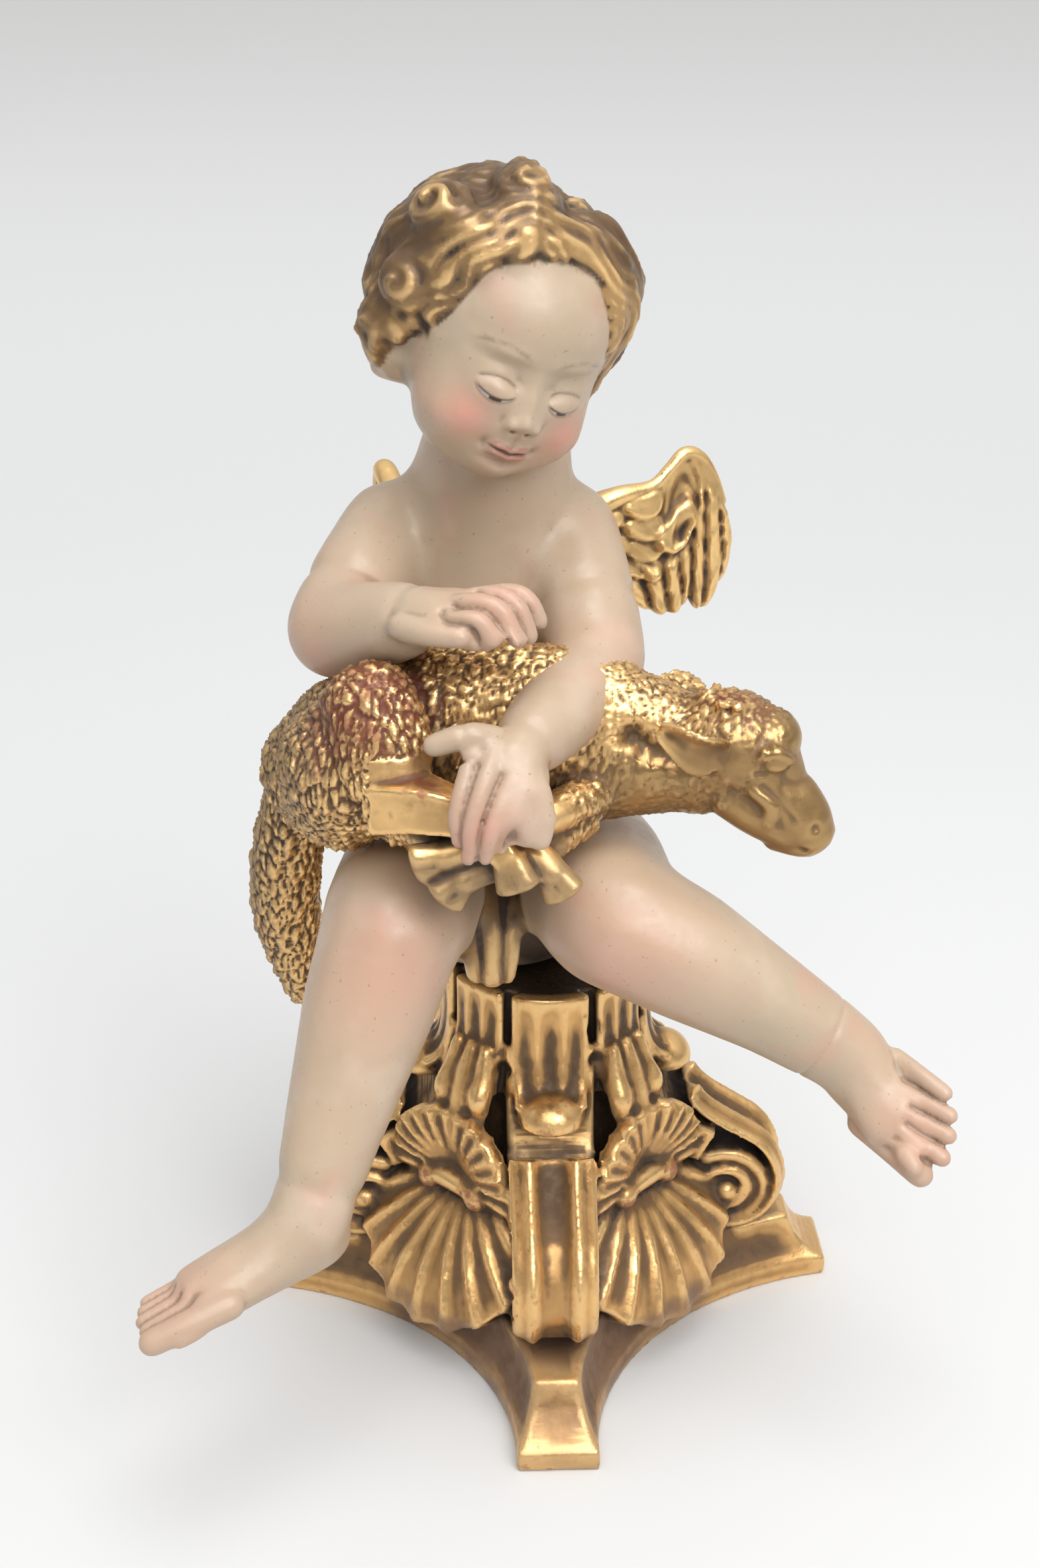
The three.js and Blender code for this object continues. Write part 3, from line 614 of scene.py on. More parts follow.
def addLeaf(bm, angle, leaf):
    # a fluted leaf that hugs the neck
    spine = smoothLine(leaf["line"], 61)
    tangent = unit(np.gradient(spine, axis=0))

    def place(u, v):
        i = round(v * 60)
        share = 2 * u - 1
        across = 0.5 * share * leaf["width"] * (1 - (1 - leaf["taper"]) * smoothStep(v, 0.45, 1.0))
        drawn = u + 0.1 * share * smoothStep(v, 0.2, 1.0)
        crest = 1 - abs(sin(pi * leaf["flutes"] * drawn))
        edge = smoothStep(1 - abs(share), 0, 0.12)
        relief = leaf["depth"] * (crest**0.8 - 0.6) * edge * smoothStep(v, 0.0, 0.25) - 2.5 * (1 - edge)
        hug = across * across / (2 * capitalShape["neck"]) * (1 - 0.6 * v * v)
        spot = spine[i] + relief * np.array((-tangent[i][1], tangent[i][0]))
        return around(angle, spot[0] - hug, across, spot[1])

    sheet(bm, 54, 60, place, 10, around(angle, 1, 0, 0))


def addLip(bm, angle):
    # the smooth rolled-over end of a corner leaf, flat below
    spin = Matrix.Rotation(radians(angle), 4, "Z")
    place = Matrix.Translation(Vector(around(angle, 68, 0, 153)))
    size = Matrix.Diagonal((16, 18, 15, 1))
    made = bmesh.ops.create_icosphere(bm, subdivisions=4, radius=1, matrix=place @ spin @ size)["verts"]
    for vert in made:
        vert.co.z = max(vert.co.z, 151)


def addBacking(bm, angle):
    # the flat ground between a corner leaf and its strap
    line = smoothLine(capitalShape["backing"], 25)

    def place(u, v):
        radius, height = line[round(24 * v)]
        return around(angle, radius, (u - 0.5) * 48, height)

    sheet(bm, 8, 24, place, 22, around(angle, 1, 0, 0.4))


def addLobes(bm, angle):
    # three drops that hang below a face leaf
    for side, low, girth in ((-13, 150, 7), (0, 142, 8), (13, 152, 7)):
        drop = [(60, side * 0.8, 186), (63, side * 0.9, 170), (68, side, low + 8), (68, side * 1.05, low)]
        roll(bm, [around(angle, *spot) for spot in drop], [3.5, girth - 1, girth, girth - 2])


def addFan(bm, angle, hinge, aim, shape):
    # ribs with sharp crests that open from a hinge; its aim is (outward, sideways, up)
    middle = unit(around(angle, *aim))
    crosswise = unit(around(angle, 0, aim[2], -aim[1]))
    face = unit(np.cross(crosswise, middle))
    if face @ around(angle, 1, 0, 0) < 0:
        face = -face
    origin = around(angle, *hinge)

    def place(u, v):
        share = 2 * u - 1
        turn = radians(shape["spread"]) * share
        scallop = 1 + 0.012 * cos(tau * shape["ribs"] * u) * v
        reach = shape["length"] * (0.1 + 0.9 * v) * (1 - shape["round"] * share * share) * scallop
        crest = (1 - abs(sin(pi * shape["ribs"] * u))) ** 1.5 - 0.35
        swell = shape["bulge"] * sin(pi * v * 0.8) * (1 - share * share * 0.6)
        lift = swell + shape["crest"] * min(1, v * 1.6) * crest
        return origin + middle * reach * cos(turn) + crosswise * reach * sin(turn) + face * lift

    sheet(bm, 12 * shape["ribs"], 40, place, shape["thickness"], face)


shell = {"length": 96, "spread": 56, "ribs": 8, "round": 0.2, "bulge": 13, "crest": 4, "thickness": 20}
palmette = {"length": 46, "spread": 44, "ribs": 6, "round": 0.1, "bulge": 5, "crest": 3.4, "thickness": 9}
cornerLeaf = {
    "line": [(59, 222), (59, 196), (60, 180), (64, 168), (72, 162)],  # (radius, height) from the seat down
    "width": 44,
    "taper": 0.95,
    "flutes": 3,
    "depth": 1.8,
}
faceLeaf = {
    "line": [(58, 222), (58, 196), (60, 176), (63, 160)],
    "width": 36,
    "taper": 0.95,
    "flutes": 3,
    "depth": 2.4,
}


def addCapitalForms(bm):
    addAbacus(bm)
    addBell(bm)
    for quarter in range(4):
        corner = 90 * quarter
        face = corner + 45
        addScroll(bm, corner)
        addLeaf(bm, corner, cornerLeaf)
        addLip(bm, corner)
        addBacking(bm, corner)
        addLeaf(bm, face, faceLeaf)
        addLobes(bm, face)
        addFan(bm, face, (62, 0, 112), (42, 0, -92), shell)
        for hand in (-1, 1):
            addFan(bm, face, (72, 0, 108), (6, 30 * hand, 24), palmette)
        knot = [around(face, 76, side, 106 - 0.012 * side * side) for side in (-16, -8, 0, 8, 16)]
        roll(bm, knot, [5, 6, 6.5, 6, 5])
        for hand in (-1, 1):
            ball(bm, around(face, 76, 18 * hand, 102), (7.5, 7.5, 7.5))
    spin = Matrix.Rotation(radians(capitalShape["turn"]), 3, "Z")
    bmesh.ops.rotate(bm, verts=bm.verts, cent=(0, 0, 0), matrix=spin)


def makeCapital():
    bm = bmesh.new()
    addCapitalForms(bm)
    obj = fuse("giltCapital", bm, capitalShape["voxel"])
    mesh = obj.data
    co = relaxed(mesh, pointsOf(mesh), 0.5, 3)
    co[:, 2] = np.maximum(co[:, 2], 0)
    setPoints(mesh, co)
    normals = normalsOf(mesh)
    drill = np.zeros(len(co))
    for spot in capitalShape["drillHoles"]:
        drill += 7 * hump(np.linalg.norm(co - np.array(spot), axis=1), 3.2)
    setPoints(mesh, co - normals * drill[:, None])
    mesh, co, normals = finishCarving(obj, 26, mostTriangles)
    reach = np.hypot(co[:, 0], co[:, 1])
    aside = smoothStep(np.abs(co[:, 0]), 84, 104)
    brown = np.maximum(smoothStep(reach, 142, 128), 0.6) * (1 - 0.9 * aside)
    saveMask(mesh, "matte", smoothStep(co[:, 2], 44, 38) * brown)
    # painted shadow on the top of the capital under the seat
    saveMask(mesh, "seat", smoothStep(co[:, 2], 218, 220.5) * smoothStep(reach, 58, 52))
    faces = [45 + 90 * quarter + capitalShape["turn"] for quarter in range(4)]
    studs = [around(angle, 80, 18 * hand, 102) for angle in faces for hand in (-1, 1)]
    away = np.min([np.linalg.norm(co - stud, axis=1) for stud in studs], axis=0)
    saveMask(mesh, "redder", smoothStep(away, 10, 7))
    placePiece(obj, "capital", capitalGilding(), noShift)


# bare wood colour, and a near-black painted shadow for the top under the seat
bareWoodAndSeatShadow = {"wood": (0.17, 0.092, 0.05), "seat": (0.035, 0.022, 0.014)}


def capitalGilding():
    material, tree, shader = newFinish("wornGiltBase")
    dulling = sums(tree, "ADD", maskOf(tree, "matte", 0.5), 0.5)
    wear = sums(tree, "ADD", maskOf(tree, "redder", 0.7), 0.2)
    gold = gildingNode(tree, dulling, wear, 0.9)
    patchy = ramp(tree, noiseOf(tree, 40, 4), 0.3, 0.7, 0.95, 0.45)
    bare = sums(tree, "MULTIPLY", maskOf(tree, "matte"), patchy)
    # the seat mask paints the shadow under the figure's seat, with no gold shine
    seat = maskOf(tree, "seat")
    colour = mixColour(tree, bare, gold["Color"], bareWoodAndSeatShadow["wood"])
    colour = mixColour(tree, seat, colour, bareWoodAndSeatShadow["seat"])
    gilded = sums(tree, "SUBTRACT", 1.0, sums(tree, "MAXIMUM", bare, seat))
    dress(tree, shader, colour, sums(tree, "MULTIPLY", gold["Metallic"], gilded), gold["Roughness"])
    bumped(tree, shader, gold["Height"], 0.5, gildingGrain)
    return material


makeCapital()
print("capital carved")

# The angel: painted flesh, gilded hair and the gilded end of a loincloth

headPose = {"middle": (-30, -36, 577), "yaw": 18, "pitch": 18, "roll": 18}
hairEgg = {"middle": (0, 7, 13), "size": (53, 55, 46), "strand": 3.3, "apart": 5.0, "lift": 10}
headTurn = np.array(
    Matrix.Rotation(radians(headPose["yaw"]), 3, "Z")
    @ Matrix.Rotation(radians(headPose["pitch"]), 3, "X")
    @ Matrix.Rotation(radians(headPose["roll"]), 3, "Y")
)


def fromHead(p):
    return np.asarray(p, float) @ headTurn.T + headPose["middle"]


def toHead(p):
    return (np.asarray(p, float) - headPose["middle"]) @ headTurn


def hairPoint(azimuth, elevation, lift):
    a, e = radians(azimuth), radians(elevation)
    aim = np.array((cos(e) * sin(a), -cos(e) * cos(a), sin(e)))
    return hairEgg["middle"] + np.array(hairEgg["size"]) * aim * (1 + lift / hairEgg["size"][0])


# locks over the head as (azimuth, elevation) in degrees from the brow
hairLocks = [
    [(-26, 48), (-40, 43), (-48, 31), (-53, 18), (-57, 4), (-62, -12)],
    [(-22, 58), (-41, 51), (-52, 41), (-59, 30), (-63, 18), (-63, 4)],
    [(-36, 64), (-52, 54), (-64, 43), (-71, 33), (-78, 22), (-82, 10)],
    [(-18, 51), (2, 55), (22, 53), (35, 44), (41, 31), (43, 17), (42, 4)],
    [(-20, 61), (5, 64), (34, 61), (50, 50), (55, 35), (58, 18), (57, 4), (54, -10), (48, -24)],
    [(-26, 69), (9, 79), (49, 72), (66, 58), (72, 40), (74, 20), (72, 0), (66, -20)],
    [(-30, 56), (-38, 66), (-60, 76), (-89, 75), (-74, 66), (-60, 58)],
    [(-64, 52), (-84, 52), (-104, 56), (-130, 60), (-150, 50)],
    [(-62, 18), (-72, 14), (-80, 4), (-76, -8), (-66, -10)],
    [(-60, 8), (-66, 2), (-70, -4), (-66, -8)],
    [(-88, 26), (-98, 14), (-102, 0), (-94, -12), (-84, -14)],
    [(-72, -14), (-84, -18), (-92, -28), (-86, -38), (-74, -36)],
    [(-66, -16), (-76, -22), (-80, -30), (-74, -34)],
    [(86, 46), (92, 26), (90, 6), (84, -14), (78, -34)],
]
for turn in range(6):
    side = 104 + 30 * turn
    hairLocks.append([(side - 14, 66), (side - 4, 44), (side + 8, 22), (side, 2)])
    hairLocks.append([(side, 16), (side + 10, -8), (side - 2, -30), (side + 8, -54)])
# curls as (azimuth, elevation, size, hand)
hairCurls = [
    (-80, 36, 14, 1),
    (-72, 0, 11, -1),
    (-80, -27, 12, 1),
    (-56, 70, 12, -1),
    (-30, 49, 6, 1),
    (80, 30, 11, 1),
    (84, -24, 10, -1),
    (130, 34, 12, 1),
    (160, -4, 12, -1),
    (200, 40, 12, 1),
    (222, -10, 12, -1),
    (190, -40, 11, 1),
    (140, -40, 11, -1),
]
# clumps under the locks as (azimuth, elevation, lift, size)
hairLumps = [(-82, 35, 4, 15), (-58, 74, 2, 15), (-78, -2, 0, 15), (-82, -28, 6, 15), (70, 60, -3, 14)]


def addHair(bm, tree):
    # strands and curls that lie on the head below them
    samples = []
    outside = 120  # mm from the middle, clear of the head

    def seat(line, rise):
        up = unit(line - hairEgg["middle"])
        starts, aims = fromHead(hairEgg["middle"] + up * outside), -(up @ headTurn.T)
        gone = np.array([tree.ray_cast(Vector(p), Vector(d))[3] or outside for p, d in zip(starts, aims)])
        reach = np.convolve(np.pad(outside - gone, 2, "edge"), np.full(5, 0.2), "valid")
        return hairEgg["middle"] + up * (reach + rise)[:, None]

    for lock in hairLocks:
        count = 5 * len(lock)
        line = smoothLine([hairPoint(a, e, hairEgg["lift"]) for a, e in lock], count)
        up = unit(line - hairEgg["middle"])
        across = unit(np.cross(up, np.gradient(line, axis=0)))
        t = np.linspace(0, 1, count)
        for strand in (-1, 0, 1):
            wave = 1.4 * np.sin(tau * 1.3 * t + strand)
            spread = strand * hairEgg["apart"] * np.sin(pi * (0.15 + 0.72 * t)) + wave
            path = seat(line + across * spread[:, None], 1.6 - 1.2 * abs(strand) + 0 * t)
            girth = hairEgg["strand"] * (0.5 + 0.5 * np.sin(pi * (0.14 + 0.76 * t)))
            roll(bm, fromHead(path), list(girth), sides=8, spans=1)
            samples.extend(fromHead(path))
    for azimuth, elevation, size, hand in hairCurls:
        middle = hairPoint(azimuth, elevation, hairEgg["lift"])
        up = unit(middle - hairEgg["middle"])
        across = unit(np.cross((0, 0, 1), up))
        rise = np.cross(up, across)
        s = np.linspace(0, 1, 22)
        turn, radius = hand * tau * 1.6 * s, size * (1 - 0.8 * s)
        ring = across * (radius * np.cos(turn))[:, None] + rise * (radius * np.sin(turn))[:, None]
        path = seat(middle + ring, 0.8 + 4 * s)
        roll(bm, fromHead(path), list(size * 0.3 * (1 - 0.3 * s)), sides=8, spans=1)
        samples.extend(fromHead(path))
    return np.array(samples)


def strandGrooves(head):
    # fine wavy grooves that run round the face
    turned, _, egg = inWindow(head)
    spin = np.arctan2(egg[:, 2], egg[:, 0])
    phase = turned / 6.4 + 0.8 * np.sin(4 * spin + turned / 16) + 0.35 * np.sin(9 * spin - turned / 9)
    grooves = 0.8 * np.sin(tau * phase) + 0.35 * np.sin(tau * 2.3 * phase + 3 * spin) - 0.3
    for azimuth, elevation, size, _ in hairCurls:
        away = np.linalg.norm(head - hairPoint(azimuth, elevation, hairEgg["lift"]), axis=1)
        grooves = grooves * smoothStep(away, 0.9 * size, 1.6 * size)
    return grooves


# digits as lines from the hand or foot to the tip, with the radius at both ends
digits = [
    ([(-41, -148, 406), (-46, -161, 394), (-50, -168, 380), (-49, -167, 365)], 5.4, 4.4),  # left hand
    ([(-33, -150, 404), (-38, -164, 393), (-44, -171, 376), (-45, -169, 358)], 5.8, 4.6),
    ([(-23, -148, 400), (-29, -164, 388), (-35, -171, 372), (-38, -169, 358)], 5.6, 4.4),
    ([(-12, -146, 392), (-13, -159, 383), (-16, -164, 373), (-19, -163, 364)], 4.8, 4.0),
    ([(-34, -144, 406), (-46, -149, 410), (-61, -148, 405)], 7.4, 5.8),
    ([(-66, -124, 456), (-52, -133, 460), (-41, -137, 462), (-34, -138, 453)], 5.0, 4.4),  # right hand
    ([(-60, -117, 460), (-44, -126, 467), (-31, -131, 465), (-23, -132, 451)], 5.2, 4.5),
    ([(-54, -110, 462), (-34, -118, 468), (-23, -123, 464), (-17, -124, 450)], 5.0, 4.4),
    ([(-46, -104, 462), (-26, -110, 467), (-17, -114, 464), (-12, -115, 454)], 4.6, 4.0),
    ([(-78, -120, 453), (-64, -132, 454), (-49, -138, 454)], 7.0, 5.4),
    ([(150, -142, 198), (162, -158, 194), (175, -173, 188)], 7.4, 6.8),  # left foot
    ([(154, -142, 210), (169, -159, 204), (185, -172, 197)], 5.6, 5.0),
    ([(158, -140, 217), (173, -157, 211), (188, -168, 207)], 5.2, 4.8),
    ([(162, -138, 225), (176, -154, 219), (189, -164, 216)], 4.8, 4.5),
    ([(166, -136, 233), (177, -150, 230), (187, -158, 225)], 4.6, 4.3),
    ([(-160, -220, 146), (-178, -228, 141), (-196, -233, 134)], 7.6, 7.0),  # right foot
    ([(-164, -208, 146), (-182, -219, 141), (-199, -225, 134)], 5.8, 5.2),
    ([(-168, -201, 145), (-186, -211, 140), (-202, -218, 134)], 5.4, 4.9),
    ([(-171, -194, 144), (-188, -204, 139), (-203, -211, 134)], 5.0, 4.6),
    ([(-173, -187, 143), (-190, -197, 138), (-203, -204, 134)], 4.8, 4.4),
]


def addDigits(bm):
    for line, root, tip in digits:
        steps = np.linspace(0, 1, len(line))
        girths = [root + (tip - root) * s for s in steps]
        roll(bm, line, girths, sides=14, spans=5, blunt=1.0)


def digitGrooves(co):
    # how far to sink the points that lie between two digits
    away = np.array([awayFrom(co, smoothLine(line, 13)[4:]) / root for line, root, _ in digits])
    nearest = np.sort(away, axis=0)
    groove = 2.6 * hump(nearest[1] - nearest[0], 0.3) * smoothStep(nearest[0], 2.0, 1.4)
    apart = awayFrom(co, np.array([(-22, -163, 380), (-24, -167, 372), (-27, -168, 358)], float))
    return groove + 5 * hump(apart, 3.4)


def addEars(bm):
    for hand in (-1, 1):
        ball(bm, fromHead((47 * hand, 0, -22)), (6, 9, 13), (18, 12, 18))
        rim = [(46, -6, -10), (51, 2, -9), (53, 8, -17), (51, 6, -27), (47, -2, -35)]
        roll(bm, [fromHead((x * hand, y, z)) for x, y, z in rim], [3, 3, 3, 3, 3.4], sides=8)


# the face, in the head's own millimetres: x sideways, z up
face = {
    "eye": (18, -7),
    "eyeHalf": 9,
    "lidDrop": 2.4,
    "lipLine": -36,
    "lipHalf": 11,
    "noseTip": -19,
    "chin": -50,
}


def lidLine(side):
    # height of the upper lid's edge at a distance from the nose
    s = (side - face["eye"][0]) / face["eyeHalf"]
    return face["eye"][1] - 1.5 - face["lidDrop"] * (1 - s * s)


def lowerLine(side):
    s = (side - face["eye"][0]) / face["eyeHalf"]
    return face["eye"][1] - 1.8 - (face["lidDrop"] + 2.0) * (1 - s * s)


def foldLine(side):
    s = (side - face["eye"][0]) / (face["eyeHalf"] + 2)
    return face["eye"][1] + 0.5 + 4.2 * (1 - s * s)


def mouthLine(x):
    s = x / face["lipHalf"]
    return face["lipLine"] - 0.8 * np.exp(-((x / 2.5) ** 2)) + 0.7 * s * s


def mound(x, z, centre, widths):
    return np.exp(-(((x - centre[0]) / widths[0]) ** 2) - ((z - centre[1]) / widths[1]) ** 2)


def faceRelief(x, z):
    side = np.abs(x)
    eye = face["eye"]
    within = smoothStep(face["eyeHalf"] + 1.5 - np.abs(side - eye[0]), 0, 3)
    relief = 2.4 * mound(side, z, (eye[0], eye[1] - 1), (8.5, 6.5))
    relief -= 2.2 * mound(side, z, (10, -1), (6, 5)) + 1.6 * mound(side, z, (18, 4.5), (11, 3.2))
    relief -= 1.0 * within * hump(z - foldLine(side), 1.0)
    step = smoothStep(z - lidLine(side), -0.5, 0.5) * smoothStep(foldLine(side) - z, 0, 4)
    relief += 1.1 * within * step
    relief -= 0.7 * within * hump(z - lowerLine(side) + 1.0, 0.8)
    relief += 1.2 * mound(side, z, (19, 10), (12, 3.5))
    relief += 3.6 * mound(x, z, (0, face["noseTip"]), (5.2, 4.6)) + 2.2 * mound(x, z, (0, -9), (3.8, 9))
    relief += 2.6 * mound(side, z, (7, face["noseTip"] - 2), (3.2, 3.2))
    relief -= 2.6 * mound(side, z, (3.8, face["noseTip"] - 5.4), (1.8, 1.2))
    relief -= 1.2 * hump(np.hypot(side - 10.5, (z + 20) * 0.6), 2.0)
    relief -= 0.9 * mound(x, z, (0, -29), (1.8, 3))
    lips = smoothStep(face["lipHalf"] + 1 - side, 0, 5)
    above = z - mouthLine(x)
    bow = 3.0 + 0.8 * np.exp(-(((side - 3) / 2.5) ** 2))
    fullness = 2.4 * hump(above - bow / 2, 1.9) + 2.8 * hump(above + 2.6, 2.2)
    relief += lips * (fullness - 1.6 * hump(above, 0.8))
    relief -= 1.4 * mound(side, z, (face["lipHalf"] + 2, face["lipLine"] + 1), (2.5, 3))
    relief -= 1.8 * mound(x, z, (0, -43.5), (9, 2.4))
    relief += 2.6 * mound(x, z, (0, face["chin"]), (9, 6))
    relief += 1.4 * mound(side, z, (25, -28), (12, 12))
    return relief


limbCreases = [  # a fold across a limb: its middle, the limb's direction there, reach, depth, width
    ((-70, -107, 453), (52, -46, 25), 26, 1.2, 4),
    ((-22, -138, 404), (-43, -81, -16), 28, 1.2, 4),
    ((-105, -46, 441), (-31, -62, -39), 40, 1.4, 5),
    ((9, -36, 436), (17, -68, -54), 40, 1.4, 5),
    ((-120, -172, 180), (-43, -66, -134), 32, 1.2, 5),
    ((128, -130, 240), (120, -16, -70), 32, 0.9, 1.0),
]
smallForms = [(-46, -124, 455, 30), (-32, -160, 380, 34), (-182, -212, 142, 34), (172, -156, 210, 32)]


def near(co, spot, inner, outer):
    return smoothStep(np.linalg.norm(co - np.array(spot, float), axis=1), outer, inner)


def inWindow(head):
    # degrees from the middle of the face's opening in the hair, and the point measured in hair eggs
    egg = (head - hairEgg["middle"]) / hairEgg["size"]
    off = np.linalg.norm(egg, axis=1)
    a, e = radians(-5), radians(-4)
    middle = np.array((cos(e) * sin(a), -cos(e) * cos(a), sin(e)))
    turned = np.degrees(np.arccos(np.clip(egg @ middle / np.maximum(off, 1e-6), -1, 1)))
    return turned, off, egg


def hairRegion(head):
    turned, off, egg = inWindow(head)
    elevation = np.degrees(np.arcsin(np.clip(egg[:, 2] / np.maximum(off, 1e-6), -1, 1)))
    backward = np.degrees(np.arctan2(np.abs(egg[:, 0]), -egg[:, 1]))
    lowest = -22 - 36 * smoothStep(backward, 72, 112)
    region = smoothStep(turned, 51, 54) * smoothStep(elevation - lowest, -3, 3) * smoothStep(off, 0.9, 0.96)
    return region * (np.linalg.norm(head, axis=1) < 92)


def clothOf(co):
    # 1 on the gilded end of the loincloth
    line = np.array([(-34, -48, 306), (-35, -74, 278), (-37, -70, 237)], float)
    cloth = smoothStep(awayFrom(co, line), 21, 18)
    return cloth * smoothStep(np.abs(co[:, 0] + 35), 21, 18) * smoothStep(co[:, 2], 318, 308)


def carveBody():
    # the solid, smoothed until the limbs are round
    obj = fuse("angelBody", clayOf("angel", seatShift), 2.0)
    mesh = obj.data
    co = pointsOf(mesh)
    small = np.max([near(co, spot[:3], spot[3] - 4, spot[3] + 12) for spot in smallForms], axis=0)
    nearHead = near(toHead(co), (0, 0, 0), 66, 84)
    co = relaxed(mesh, co, 0.5 * (1 - small) * (1 - 0.75 * nearHead), 75)
    co = relaxed(mesh, co, 0.5 * small, 9)
    setPoints(mesh, co)
    setPoints(mesh, co + normalsOf(mesh) * (1.3 * (1 - small) * (1 - nearHead))[:, None])
    return obj


def carveAngel():
    body = carveBody()
    bm = bmesh.new()
    bm.from_mesh(body.data)
    bpy.data.objects.remove(body)
    for azimuth, elevation, lift, size in hairLumps:
        ball(bm, fromHead(hairPoint(azimuth, elevation, lift)), (size,) * 3)
    strands = addHair(bm, BVHTree.FromBMesh(bm))
    addDigits(bm)
    addEars(bm)
    obj = fuse("angelFigure", bm, 1.6)
    mesh = obj.data
    co = relaxed(mesh, pointsOf(mesh), 0.5, 2)
    setPoints(mesh, co)
    normals = normalsOf(mesh)
    for middle, way, reach, depth, width in limbCreases:
        across = hump((co - np.array(middle, float)) @ unit(way), width)
        co = co - normals * (depth * across * near(co, middle, reach, reach + 8))[:, None]
    head = toHead(co)
    folds = 1.6 * clothOf(co) * (hump(co[:, 0] + 42, 2.2) + hump(co[:, 0] + 30, 2.6))
    away, _, _ = nearestOf(co, strands)
    hair = np.maximum(hairRegion(head), smoothStep(away, 6, 4))
    co = co + normals * (0.8 * strandGrooves(head) * hair - digitGrooves(co) - folds)[:, None]
    co = relaxed(mesh, co, 0.5 * hair, 2)
    setPoints(mesh, relaxed(mesh, co, 0.4, 1))
    head = toHead(pointsOf(mesh))
    frontal = (head[:, 1] < -18) & (head[:, 1] > -90)
    refine(obj, frontal & (np.abs(head[:, 0]) < 46) & (np.abs(head[:, 2] + 12) < 52))
    mesh = obj.data
    co = pointsOf(mesh)
    head = toHead(co)
    bare = smoothStep(-head[:, 1], 18, 30) * smoothStep(head[:, 2], -66, -58)
    bare = bare * (np.linalg.norm(head, axis=1) < 90)
    away, _, _ = nearestOf(co, strands)
    skin = bare * smoothStep(away, 5, 8) * smoothStep(inWindow(head)[0], 54, 49)
    co = relaxed(mesh, co, 0.5 * skin, 24)
    head = toHead(co)
    forward = headTurn @ np.array((0, -1, 0))
    co = co + forward * (skin * faceRelief(head[:, 0], head[:, 2]))[:, None]
    setPoints(mesh, co)
    mesh, co, normals = finishCarving(obj, 22, mostTriangles)
    paintAngel(mesh, co, strands)
    return obj


blushes = [  # spot, size, strength
    ((-84, -150, 290), 34, 0.5),
    ((25, -150, 292), 34, 0.5),
    ((-186, -216, 140), 30, 0.4),
    ((176, -160, 206), 26, 0.45),
    ((-30, -130, 462), 22, 0.5),
    ((-40, -168, 372), 26, 0.5),
    ((-116, -76, 428), 30, 0.35),
    ((22, -76, 408), 30, 0.35),
]


def paintAngel(mesh, co, strands):
    head = toHead(co)
    x, z = head[:, 0], head[:, 2]
    side = np.abs(x)
    front = smoothStep(-head[:, 1], 22, 32) * (np.linalg.norm(head, axis=1) < 90)
    away, _, _ = nearestOf(co, strands)
    ear = smoothStep(mound(head[:, 1], z, (1, -24), (13, 16)) * (side > 40), 0.3, 0.6)
    hair = np.maximum(smoothStep(away, 5.6, 4.4), hairRegion(head) * (1 - ear))
    saveMask(mesh, "gilt", np.maximum(hair, clothOf(co)))
    saveMask(mesh, "brownHair", hair * smoothStep(inWindow(head)[0], 57, 72))
    # painted shadow on the underside of the body between the legs
    saveMask(mesh, "shadowUnderBody", near(co * (1, 0.5, 1), (-6, -36, 240), 24, 32) * smoothStep(co[:, 0], 18, 8))
    blush = 0.95 * front * mound(side, z, (26, -25), (12, 12))
    for spot, size, strength in blushes:
        blush = np.maximum(blush, strength * hump(np.linalg.norm(co - np.array(spot), axis=1), size))
    saveMask(mesh, "blush", blush)
    above = z - mouthLine(x)
    lips = front * smoothStep(face["lipHalf"] - side, -1, 3)
    saveMask(mesh, "lips", lips * smoothStep(above, 4.6, 3.4) * smoothStep(above, -6.0, -4.8))
    within = smoothStep(face["eyeHalf"] - np.abs(side - face["eye"][0]), 0, 1.5) * front
    opening = within * smoothStep(lidLine(side) - z, -0.1, 0.5) * smoothStep(z - lowerLine(side), -0.2, 0.4)
    saveMask(mesh, "eye", opening)
    iris = opening * smoothStep(np.abs(side - face["eye"][0] + 0.5), 3.2, 2.5)
    lash = 0.85 * within * hump(z - lidLine(side), 0.55)
    mouth = 0.6 * front * smoothStep(face["lipHalf"] + 0.5 - side, 0, 2) * hump(above, 0.6)
    arch = z - 9.5 - 3.5 * (1 - ((side - 20) / 13) ** 2)
    brow = 0.4 * front * smoothStep(14 - np.abs(side - 20), 0, 5) * hump(arch, 0.9)
    fold = 0.25 * within * hump(z - foldLine(side), 0.6)
    saveMask(mesh, "dark", np.max([iris, lash, mouth, brow, fold], axis=0))


flesh = {
    "paint": (0.475, 0.356, 0.25),
    "shade": (0.385, 0.315, 0.22),
    "pale": (0.57, 0.45, 0.345),
    "pink": (0.60, 0.25, 0.19),
    "lips": (0.38, 0.15, 0.115),
    "line": (0.05, 0.03, 0.022),
    "hair": (0.10, 0.055, 0.026),
    "giltHair": (0.43, 0.26, 0.105),
    "dullAndShadedHair": (0.19, 0.11, 0.047),
    "eye": (0.50, 0.48, 0.44),
    # grime colour, also used as painted shade in hollows
    "grimeAndShade": (0.15, 0.10, 0.06),
    "speck": (0.24, 0.17, 0.11),
}


